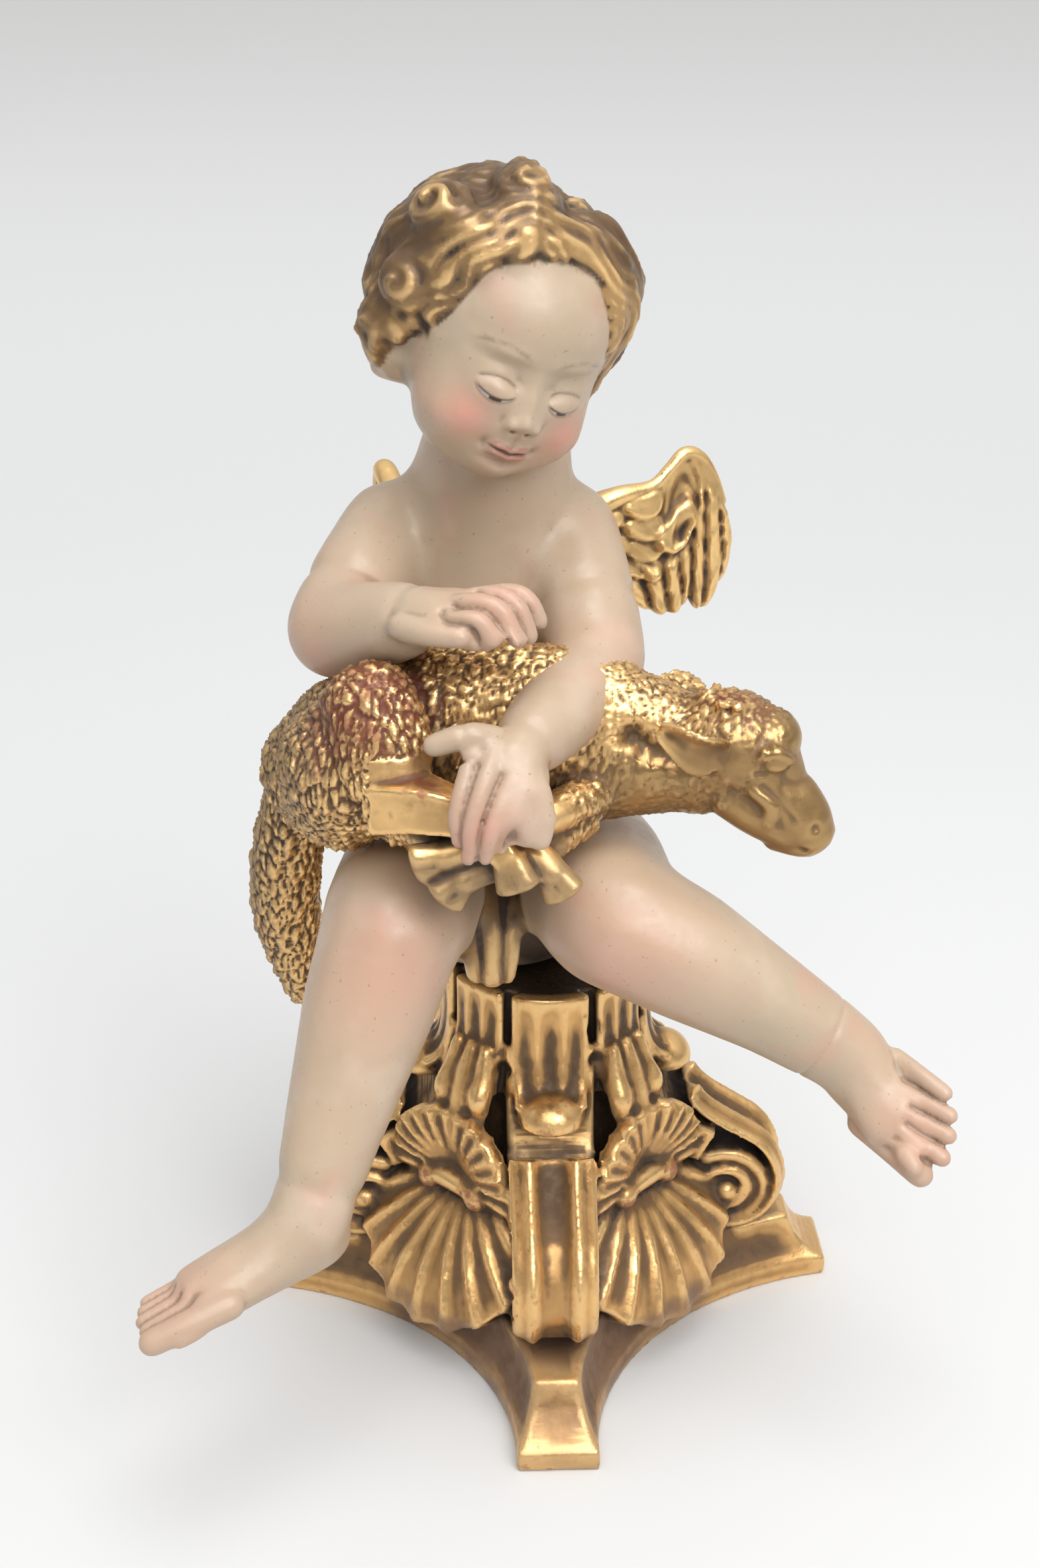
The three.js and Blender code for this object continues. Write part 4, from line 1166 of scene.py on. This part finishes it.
def paintedFlesh():
    material, tree, shader = newFinish("agedFleshPaint")
    broad, fine = noiseOf(tree, 17, 4), noiseOf(tree, 240, 3)
    colour = mixColour(tree, ramp(tree, broad, 0.38, 0.66, 0, 0.5), flesh["paint"], flesh["shade"])
    colour = mixColour(tree, ramp(tree, noiseOf(tree, 23, 3), 0.52, 0.72, 0, 0.5), colour, flesh["pale"])
    blotch = ramp(tree, noiseOf(tree, 34, 2), 0.5, 0.8, 0, 0.28)
    pink = sums(tree, "ADD", maskOf(tree, "blush", 0.75), blotch, clamp=True)
    # grime and painted shade: sheltered and hollow places darken
    grimeAndShade = ramp(tree, maskOf(tree, "shelter"), 0.3, 0.95, 0, 0.7)
    grimeAndShade = sums(tree, "ADD", grimeAndShade, ramp(tree, maskOf(tree, "hollow"), 0.1, 0.9, 0, 0.5), clamp=True)
    for share, name in (
        (pink, "pink"),
        (maskOf(tree, "lips", 0.7), "lips"),
        (maskOf(tree, "eye"), "eye"),
        (maskOf(tree, "dark"), "line"),
        (grimeAndShade, "grimeAndShade"),
        (ramp(tree, noiseOf(tree, 420, 1), 0.72, 0.78, 0, 0.5), "speck"),
        # the near-black line colour also paints the shadow under the body
        (maskOf(tree, "shadowUnderBody", 0.9), "line"),
    ):
        colour = mixColour(tree, share, colour, flesh[name])
    gilt = maskOf(tree, "gilt")
    # gilded hair with dirt, a painted highlight on crests and painted shade in hollows
    gold = gildingNode(tree, 0.9, 0.16, 1.2, flesh["giltHair"], flesh["dullAndShadedHair"])
    patchy = ramp(tree, noiseOf(tree, 38, 3), 0.36, 0.58, 0.35, 0.9)
    brown = sums(tree, "MULTIPLY", maskOf(tree, "brownHair"), patchy)
    colour = mixColour(tree, gilt, colour, mixColour(tree, brown, gold["Color"], flesh["hair"]))
    rough = tree.nodes.new("ShaderNodeMix")
    values = (gilt, ramp(tree, fine, 0.3, 0.7, 0.30, 0.42), gold["Roughness"])
    for socket, value in zip((rough.inputs[0], rough.inputs[2], rough.inputs[3]), values):
        setSocket(tree, socket, value)
    metal = sums(tree, "MULTIPLY", sums(tree, "MULTIPLY", gilt, gold["Metallic"]), 0.45)
    dress(tree, shader, colour, metal, rough.outputs[0])
    bumped(tree, shader, sums(tree, "MULTIPLY_ADD", broad, 2.0, fine), 0.25, 0.0005)
    return material


angelFigure = carveAngel()
placePiece(angelFigure, "angel", paintedFlesh())
print("angel carved")

# The lamb across the lap

lambShape = {
    "voxel": 1.3,
    "tufts": ((5.4, 1.0, 7), (3.0, 0.55, 11)),  # mm between the chisel marks, share of the depth, seed
    "depth": 1.5,
    "seed": 7,
    "body": [
        (-126, -62, 356),
        (-96, -78, 374),
        (-44, -88, 387),
        (8, -88, 385),
        (40, -90, 381),
        (64, -94, 377),
    ],
    "bodyGirth": [(31, 30), (43, 32), (47, 27), (45, 27), (36, 27), (28, 24)],
    "haunch": [(-112, -90, 350), (-102, -102, 374), (-92, -108, 400), (-88, -106, 416)],
    "tail": [(-134, -40, 340), (-146, -30, 296), (-148, -24, 252), (-140, -20, 208)],
    "hock": [(-96, -118, 420), (-88, -124, 402), (-84, -132, 382)],
    "skull": [(60, -94, 376), (84, -100, 385), (102, -104, 366), (115, -108, 350), (120, -109, 343)],
    "nose": [(96, -105, 376), (107, -107, 367), (117, -109, 360), (123, -110, 350)],
    "jaw": [(80, -103, 364), (94, -106, 355), (107, -109, 347), (115, -110, 343)],
    "lip": [(104, -109, 342), (114, -111, 338)],
    "legs": [  # the near hind leg first
        [(-88, -136, 372), (-66, -147, 375), (-44, -151, 368), (-27, -158, 352)],
        [(-80, -116, 352), (-44, -142, 352), (-16, -150, 350), (-6, -155, 343)],
        [(16, -106, 366), (-10, -134, 362), (-44, -147, 354), (-58, -150, 350)],
        [(8, -106, 352), (-16, -138, 346), (-38, -146, 342), (-50, -150, 337)],
    ],
    "hooves": [(-22, -161, 338), (0, -157, 333), (-71, -152, 346), (-58, -152, 328)],
    "ear": [(76, -123, 389), (60, -132, 394), (43, -132, 406)],
    "earWidth": 24,
    "headMiddle": -103,
}


def addHoof(bm, ankle, tip):
    # two toes side by side
    ankle, tip = np.array(ankle, float), np.array(tip, float)
    way = unit(tip - ankle)
    apart = unit(np.cross(way, (0, 1, 0.3)))
    for hand in (-1, 1):
        end = tip + apart * 4.6 * hand
        toe = [ankle + apart * 2 * hand, (ankle + end) / 2 + apart * hand, end]
        roll(bm, toe, [6, 6.4, 6.8], blunt=0.25)


def addLambEar(bm, mirrorY=None):
    out = (0, -1 if mirrorY is None else 1, 0)
    line = smoothLine(lambShape["ear"], 31)

    def place(u, v):
        share = 2 * u - 1
        width = lambShape["earWidth"] * sin(pi * min(0.98, 0.16 + 0.8 * v)) ** 0.8
        cup = 6.5 * share * share * sin(pi * (0.12 + 0.8 * v))
        spot = line[round(30 * v)] + np.array((0.25, -cup / 10, 1)) * width * share / 2
        spot = spot + np.array((0, -cup, 0))
        if mirrorY is not None:
            spot[1] = 2 * mirrorY - spot[1]
        return spot

    sheet(bm, 18, 30, place, 3.4, out)


def addLambHead(bm):
    across, middle = (0, 1, 0), lambShape["headMiddle"]
    girths = [(23, 30), (25, 28), (20, 19), (16, 16.5), (13, 14)]
    roll(bm, lambShape["skull"], girths, sides=32, spans=8, side=across)
    ball(bm, (97, middle, 391), (18, 19, 16))
    ball(bm, (80, -100, 401), (20, 19, 13))
    for hand in (-1, 1):
        lid = [(90, 19, 386), (98, 22, 392), (108, 18, 386)]
        roll(bm, [(x, middle + y * hand, z) for x, y, z in lid], [3, 4.2, 2.8], sides=10)
        ball(bm, (99.5, middle + 19.5 * hand, 385), (6.4, 4.4, 4.4), (0, 25, 0))
        cheek = [(90, 19, 372), (99, 19, 364), (98, 18, 354)]
        roll(bm, [(x, middle + y * hand, z) for x, y, z in cheek], [4, 5, 4])
        ball(bm, (120, -109 + 9 * hand, 350), (5, 4, 5))
    roll(bm, lambShape["nose"], [6, 6.5, 8, 8.5], sides=16)
    roll(bm, lambShape["jaw"], [(18, 13), (17, 13), (14, 11), (11, 9)], sides=20, side=across)
    roll(bm, lambShape["lip"], [(9, 8), (8.5, 6)], sides=16, side=across)
    addLambEar(bm)
    addLambEar(bm, -101)
    rng = np.random.default_rng(lambShape["seed"])
    for _ in range(26):  # tufts of the poll
        spot = np.array((80, -101, 398)) + rng.normal(0, 1, 3) * (9, 9, 6)
        turn = (rng.uniform(-30, 30), rng.uniform(-40, 40), rng.uniform(0, 180))
        ball(bm, spot + (0, 0, 6), (4.5, 3.5, 3), turn, 2)


def addLambForms(bm):
    roll(bm, lambShape["body"], lambShape["bodyGirth"], sides=40, spans=8, side=(0, 0, 1))
    roll(bm, lambShape["haunch"], [(28, 24), (39, 33), (29, 24), (18, 15)], sides=40, spans=8)
    roll(bm, lambShape["tail"], [19, 19, 18, 11], sides=28, spans=8)
    roll(bm, lambShape["hock"], [(22, 16), (24, 18), (22, 16)], sides=24)
    hind, *others = lambShape["legs"]
    roll(bm, hind, [(18, 18), (16, 16), (12, 12), (9, 9)], sides=4, spans=8, side=(0, 1, 1), blunt=0.3)
    for line in others:
        roll(bm, line, [12, 9.5, 8.5, 8], sides=16, spans=8)
    for line, tip in zip(lambShape["legs"], lambShape["hooves"]):
        addHoof(bm, line[-1], tip)
    addLambHead(bm)


def fleeceOf(co, size, seed):
    # short overlapping chisel marks: seeded cells, longer down the slope than across it
    rng = np.random.default_rng(seed)
    stretched = co * (1.25, 1.25, 0.5)
    low, high = stretched.min(0), stretched.max(0)
    count = int(np.prod((high - low) / size))
    seeds = rng.uniform(low, high, (count, 3))
    first, second, index = nearestOf(stretched, seeds)
    edge = (second - first) / size
    tilt = ((stretched - seeds[index]) @ np.array((0.4, 0, -0.9))) / size
    return smoothStep(edge, 0.0, 0.45) - 0.5 + 0.5 * np.clip(tilt, -1, 1)


lambCuts = [  # line, depth, width
    ([(117, -120, 338), (106, -126, 342), (92, -127, 350)], 2.0, 1.5),
    ([(121, -119, 350), (121, -121, 351)], 2.8, 2.2),
    ([(52, -121, 386), (40, -118, 391), (33, -116, 396)], 8.0, 7.0),
    ([(91, -124, 381), (99, -127, 380), (107, -124, 381)], 1.6, 1.2),
    ([(106, -122, 376), (112, -118, 373), (117, -110, 372), (117, -98, 372)], 1.8, 4.0),
    ([(94, -124, 374), (104, -126, 366), (110, -124, 356)], 1.2, 1.6),
    ([(84, -124, 372), (94, -127, 358), (104, -126, 352)], 1.0, 1.6),
]


def lambCut(co):
    # mouth, nostril, hollow behind the ear, lower lid, the step under the brow and two folds of the cheek
    return sum(depth * hump(awayFrom(co, np.array(line, float)), width) for line, depth, width in lambCuts)


rubbedSpots = [((-96, -116, 414), 42, 1.0), ((-64, -150, 388), 16, 0.7), ((88, -102, 410), 24, 0.75)]


def makeLamb():
    bm = bmesh.new()
    addLambForms(bm)
    obj = fuse("giltLamb", bm, lambShape["voxel"])
    mesh = obj.data
    co = relaxed(mesh, pointsOf(mesh), 0.5, 3)
    setPoints(mesh, co)
    normals = normalsOf(mesh)
    muzzle = smoothStep(co[:, 0] * 0.8 - co[:, 2] * 0.6, -157, -150)
    shanks = smoothStep(co[:, 1], -128, -138) * (co[:, 0] > -92) * (co[:, 0] < 40) * (co[:, 2] < 396)
    earNear = smoothStep(awayFrom(co, np.array(lambShape["ear"], float)), 15, 11)
    earNear = earNear * smoothStep(co[:, 1], -121, -125)
    bald = np.maximum(np.maximum(muzzle, shanks), earNear)
    marks = sum(share * fleeceOf(co, size, seed) for size, share, seed in lambShape["tufts"])
    throat = smoothStep(co[:, 0], 14, 30) * smoothStep(co[:, 2] - 0.35 * co[:, 0], 374, 360)
    coarse = (0.7 + 0.35 * smoothStep(co[:, 0], -40, -80)) * (1 - 0.45 * throat)
    co = co + normals * (lambShape["depth"] * marks * coarse * (1 - bald) - lambCut(co))[:, None]
    setPoints(mesh, co)
    mesh, co, normals = finishCarving(obj, 18, mostTriangles)
    redder = 0.35 * smoothStep(co[:, 2] - 0.5 * co[:, 0], 436, 470)
    for spot, size, strength in rubbedSpots:
        redder = np.maximum(redder, strength * hump(np.linalg.norm(co - np.array(spot), axis=1), size))
    saveMask(mesh, "redder", redder)
    # painted shade on the hind end's faces that turn away from the light, and a painted shadow over the
    # hooves
    lambShade = smoothStep(co[:, 0], -100, -124) * smoothStep(normals[:, 0], 0.0, -0.6)
    hoofShadow = smoothStep(co[:, 1], -128, -136) * smoothStep(co[:, 2], 356, 346)
    saveMask(mesh, "lambShade", np.maximum(lambShade, 0.9 * hoofShadow))
    throat = smoothStep(co[:, 0], 6, 26) * smoothStep(co[:, 2] - 0.3 * co[:, 0], 390, 372)
    muzzle = smoothStep(co[:, 0] - 0.5 * co[:, 2], -78, -66)
    saveMask(mesh, "browner", np.maximum(throat, 0.8 * muzzle))
    placePiece(obj, "lamb", lambGilding())


lambColours = {
    "leaf": (0.84, 0.54, 0.235),
    "red": (0.15, 0.036, 0.016),
    "brown": (0.20, 0.118, 0.048),
    # colour of the painted shade
    "dark": (0.09, 0.062, 0.045),
}


def lambGilding():
    material, tree, shader = newFinish("wornGiltFleece")
    wear = sums(tree, "ADD", maskOf(tree, "redder", 0.75), 0.22)
    # more dirt and painted shade where the lamb lies in shade
    dirtAndShade = sums(tree, "ADD", maskOf(tree, "lambShade", 0.6), 0.9)
    gold = gildingNode(tree, 0.5, wear, dirtAndShade, lambColours["leaf"])
    redder = sums(tree, "MULTIPLY_ADD", noiseOf(tree, 130, 3), 1.3, maskOf(tree, "redder"))
    redder = sums(tree, "SUBTRACT", redder, maskOf(tree, "ridge", 0.5))
    redder = ramp(tree, redder, 0.85, 1.45, 0, 0.9)
    colour = mixColour(tree, redder, gold["Color"], lambColours["red"])
    colour = mixColour(tree, maskOf(tree, "browner", 0.62), colour, lambColours["brown"])
    # painted shade over the lamb's shaded places
    colour = mixColour(tree, maskOf(tree, "lambShade", 0.6), colour, lambColours["dark"])
    shine = gold["Metallic"]
    for cause, amount in ((redder, -0.7), (maskOf(tree, "lambShade"), -0.5)):
        shine = sums(tree, "MULTIPLY", shine, sums(tree, "MULTIPLY_ADD", cause, amount, 1.0))
    dress(tree, shader, colour, shine, gold["Roughness"])
    bumped(tree, shader, gold["Height"], 0.35, gildingGrain)
    return material


makeLamb()
print("lamb carved")

# The wings: a thick plate with a rolled rim, scales by the back, one scooped plume and long feathers

wingShapes = {  # figure millimetres, from the back to the outer edge; the right wing is folded further back
    "left": {
        "top": [
            (-4, 26, 458),
            (12, 35, 465),
            (31, 40, 472.5),
            (49, 47, 476),
            (58, 52, 483.5),
            (67, 57, 491.5),
            (76, 61, 488),
            (83.5, 65, 476),
            (89, 69, 462),
        ],
        "low": [
            (22, 40, 434),
            (36, 47, 414),
            (50, 56, 402.5),
            (59, 59, 400),
            (67, 62, 402),
            (71, 64, 408),
            (78, 67, 399.5),
            (88, 72, 413),
            (95, 75.5, 432),
        ],
        "rim": [9, 8, 5.5, 3.6, 3.4, 3.8, 3.6, 3.2, 2.6],
        "face": (0.34, -0.94, 0),
    },
    "right": {
        "top": [
            (-58, 28, 446),
            (-72, 40, 450),
            (-80, 50, 455),
            (-87, 62, 462),
            (-92, 73, 470),
            (-96, 84, 475),
            (-98, 96, 471),
            (-100, 105, 461),
            (-101, 111, 449),
        ],
        "low": [
            (-80, 50, 420),
            (-84, 58, 406),
            (-88, 66, 398),
            (-91, 74, 396),
            (-94, 82, 398),
            (-96, 88, 404),
            (-98, 96, 397),
            (-101, 108, 407),
            (-102.5, 116, 424),
        ],
        "rim": [9, 8.5, 8, 7.5, 7, 6.5, 5.6, 4.8, 3.6],
        "face": (-0.95, -0.28, 0),
    },
}
plumage = {  # places and half sizes are shares of the wing: along its top, then down it
    "voxel": 1.0,
    "triangles": 90000,
    "half": 4.0,  # half of the plate's thickness
    "feathers": 8,
    "groove": 4.4,
    "scoop": (0.51, 0.40, 0.17, 0.15),
    "scales": [
        (0.33, 0.10),
        (0.31, 0.27),
        (0.29, 0.44),
        (0.27, 0.60),
        (0.15, 0.14),
        (0.14, 0.36),
        (0.13, 0.58),
    ],
    "scale": (0.09, 0.11),
    "sweep": 3.0,  # how far the outer feathers bow out
    "leaf": (0.90, 0.60, 0.26),
}


def dome(s, v, centre, half):
    # a rounded scale that stands highest near its lower end, and how far from its middle the point lies
    aside, down = (s - centre[0]) / half[0], (v - centre[1]) / half[1]
    body = float(smoothStep(sqrt(aside**2 + down**2), 1.12, 0.78))
    return body * (0.72 + 0.28 * max(-1.0, min(1.0, down))), aside, down


def feathering(s, v):
    # height of the carving, and how far each long feather has thinned towards its neighbour
    drift = s + 0.008 * sin(9 * v + 5 * s)
    crest = abs(sin(pi * plumage["feathers"] * drift)) ** 0.6
    start = 0.54 - 0.42 * float(smoothStep(s, 0.64, 0.72))
    long = float(smoothStep(v, start, start + 0.12))
    shaft = abs(sin(tau * plumage["feathers"] * drift)) ** 0.6
    height = (plumage["groove"] * (crest - 0.55) + shaft) * long * (1 + 0.2 * sin(17 * v + 23 * s))
    height -= 3.4 * exp(-(((s - 0.57) / 0.14) ** 2) - ((v - 0.17) / 0.11) ** 2)
    height += max(3.6 * dome(s, v, spot, plumage["scale"])[0] for spot in plumage["scales"])
    plume, aside, down = dome(s, v, plumage["scoop"][:2], plumage["scoop"][2:])
    height += 7.5 * plume - 5.0 * exp(-((aside / 0.5) ** 2) - ((down - 0.2) / 0.5) ** 2)
    return height + 0.3 * sin(40 * v + 6 * sin(14 * s)), 1 - crest


def addWing(bm, shape):
    top, low = smoothLine(shape["top"], 81), smoothLine(shape["low"], 81)
    front = unit(shape["face"])
    outer = unit((top[-1] - top[0]) * (1, 1, 0))

    def place(u, v):
        s = 2 * u if u < 0.5 else 2 - 2 * u  # the front, then the back
        height, thinned = feathering(s, v)
        edge = sqrt(max(0.0, 1 - (2 * s - 1) ** 10) * max(0.0, 1 - (2 * v - 1) ** 14))
        i = round(80 * s)
        spot = top[i] + (low[i] - top[i]) * v * (1 - 0.04 * thinned * v)
        spot = spot + outer * plumage["sweep"] * s * s * sin(pi * v)
        return spot + front * (plumage["half"] + height) * edge * (1 if u < 0.5 else -1)

    wrapped(bm, 160, 96, place)
    roll(bm, shape["top"], shape["rim"], sides=20, spans=8)


def makeWing(hand, node):
    bm = bmesh.new()
    addWing(bm, wingShapes[hand])
    obj = fuse(f"giltWing{hand.title()}", bm, plumage["voxel"])
    mesh = obj.data
    setPoints(mesh, relaxed(mesh, pointsOf(mesh), 0.4, 2))
    finishCarving(obj, 14, plumage["triangles"])
    placePiece(obj, node, wingFinish)


wingFinish = gildedFinish("giltFeathers", 0.5, 0.25, 1.4, plumage["leaf"])
makeWing("left", "wing_left")
makeWing("right", "wing_right")
print("wings carved")

# Stage, light and camera

view = {"lens": 47, "place": (-0.0148, -1.0238, 0.7574), "down": 22.996}
studio = {
    "floor": (0.65, 0.655, 0.655),
    # the backdrop colour is painted shade that darkens the sweep as it rises
    "shadedBackdrop": (0.49, 0.49, 0.485),
    "air": (0.32, 0.85),  # light from the horizon and from overhead
    "sun": {"aim": (-0.22, 0.75, -1), "angle": 60, "power": 1.5},
    "lamps": [  # name, place, size, power
        ("keySoftbox", (0.9, -1.5, 1.6), 1.1, 13),
        ("topSoftbox", (0.1, -0.5, 2.2), 1.2, 12),
    ],
    "aim": (0, 0, 0.4),
}


def upwards(tree, kind):
    # the Z of a texture coordinate
    coords = tree.nodes.new("ShaderNodeTexCoord")
    parts = tree.nodes.new("ShaderNodeSeparateXYZ")
    tree.links.new(coords.outputs[kind], parts.inputs["Vector"])
    return parts.outputs["Z"]


def linked(name, data):
    obj = bpy.data.objects.new(name, data)
    bpy.context.scene.collection.objects.link(obj)
    return obj


def facing(way):
    return Vector(way).to_track_quat("-Z", "Y").to_euler()


def makeStage():
    bm = bmesh.new()
    bmesh.ops.create_grid(bm, x_segments=1, y_segments=60, size=1)
    for vert in bm.verts:
        t = (vert.co.y + 1) / 2  # a floor that sweeps up into a backdrop
        bend = max(0.0, t - 0.4) / 0.6
        vert.co = (vert.co.x * 6, -3 + 10 * t**0.9, 3.6 * bend**2.4)
    mesh = bpy.data.meshes.new("floorSweep")
    bm.to_mesh(mesh)
    bm.free()
    mesh.shade_smooth()
    material, tree, shader = newFinish("paleFloor")
    # painted shade: the sweep turns darker as it rises towards the backdrop
    rise = ramp(tree, upwards(tree, "Object"), 0.0, 0.7)
    tree.links.new(mixColour(tree, rise, studio["floor"], studio["shadedBackdrop"]), shader.inputs["Base Color"])
    shader.inputs["Roughness"].default_value = 0.7
    mesh.materials.append(material)
    linked("floorSweep", mesh)


def lightScene():
    world = bpy.data.worlds.new("studioAir")
    bpy.context.scene.world = world
    world.use_nodes = True
    tree = world.node_tree
    sky = tree.nodes["Background"]
    sky.inputs["Color"].default_value = (1, 1, 1, 1)
    tree.links.new(ramp(tree, upwards(tree, "Generated"), 0.0, 0.8, *studio["air"]), sky.inputs["Strength"])
    sun = bpy.data.lights.new("ceilingLight", "SUN")
    sun.angle = radians(studio["sun"]["angle"])
    sun.energy = studio["sun"]["power"]
    linked("ceilingLight", sun).rotation_euler = facing(studio["sun"]["aim"])
    for name, place, size, power in studio["lamps"]:
        lamp = bpy.data.lights.new(name, "AREA")
        lamp.shape = "DISK"
        lamp.size = size
        lamp.energy = power
        obj = linked(name, lamp)
        obj.location = place
        obj.rotation_euler = facing(Vector(studio["aim"]) - Vector(place))


def placeCamera():
    camera = bpy.data.cameras.new("photoView")
    camera.lens = view["lens"]
    camera.sensor_width = 36
    camera.clip_start = 0.01
    obj = linked("photoView", camera)
    obj.location = view["place"]
    obj.rotation_euler = (radians(90 - view["down"]), 0, 0)
    bpy.context.scene.camera = obj


makeStage()
lightScene()
placeCamera()
bpy.context.scene.view_settings.view_transform = "Standard"

print("stage, light and camera ready")
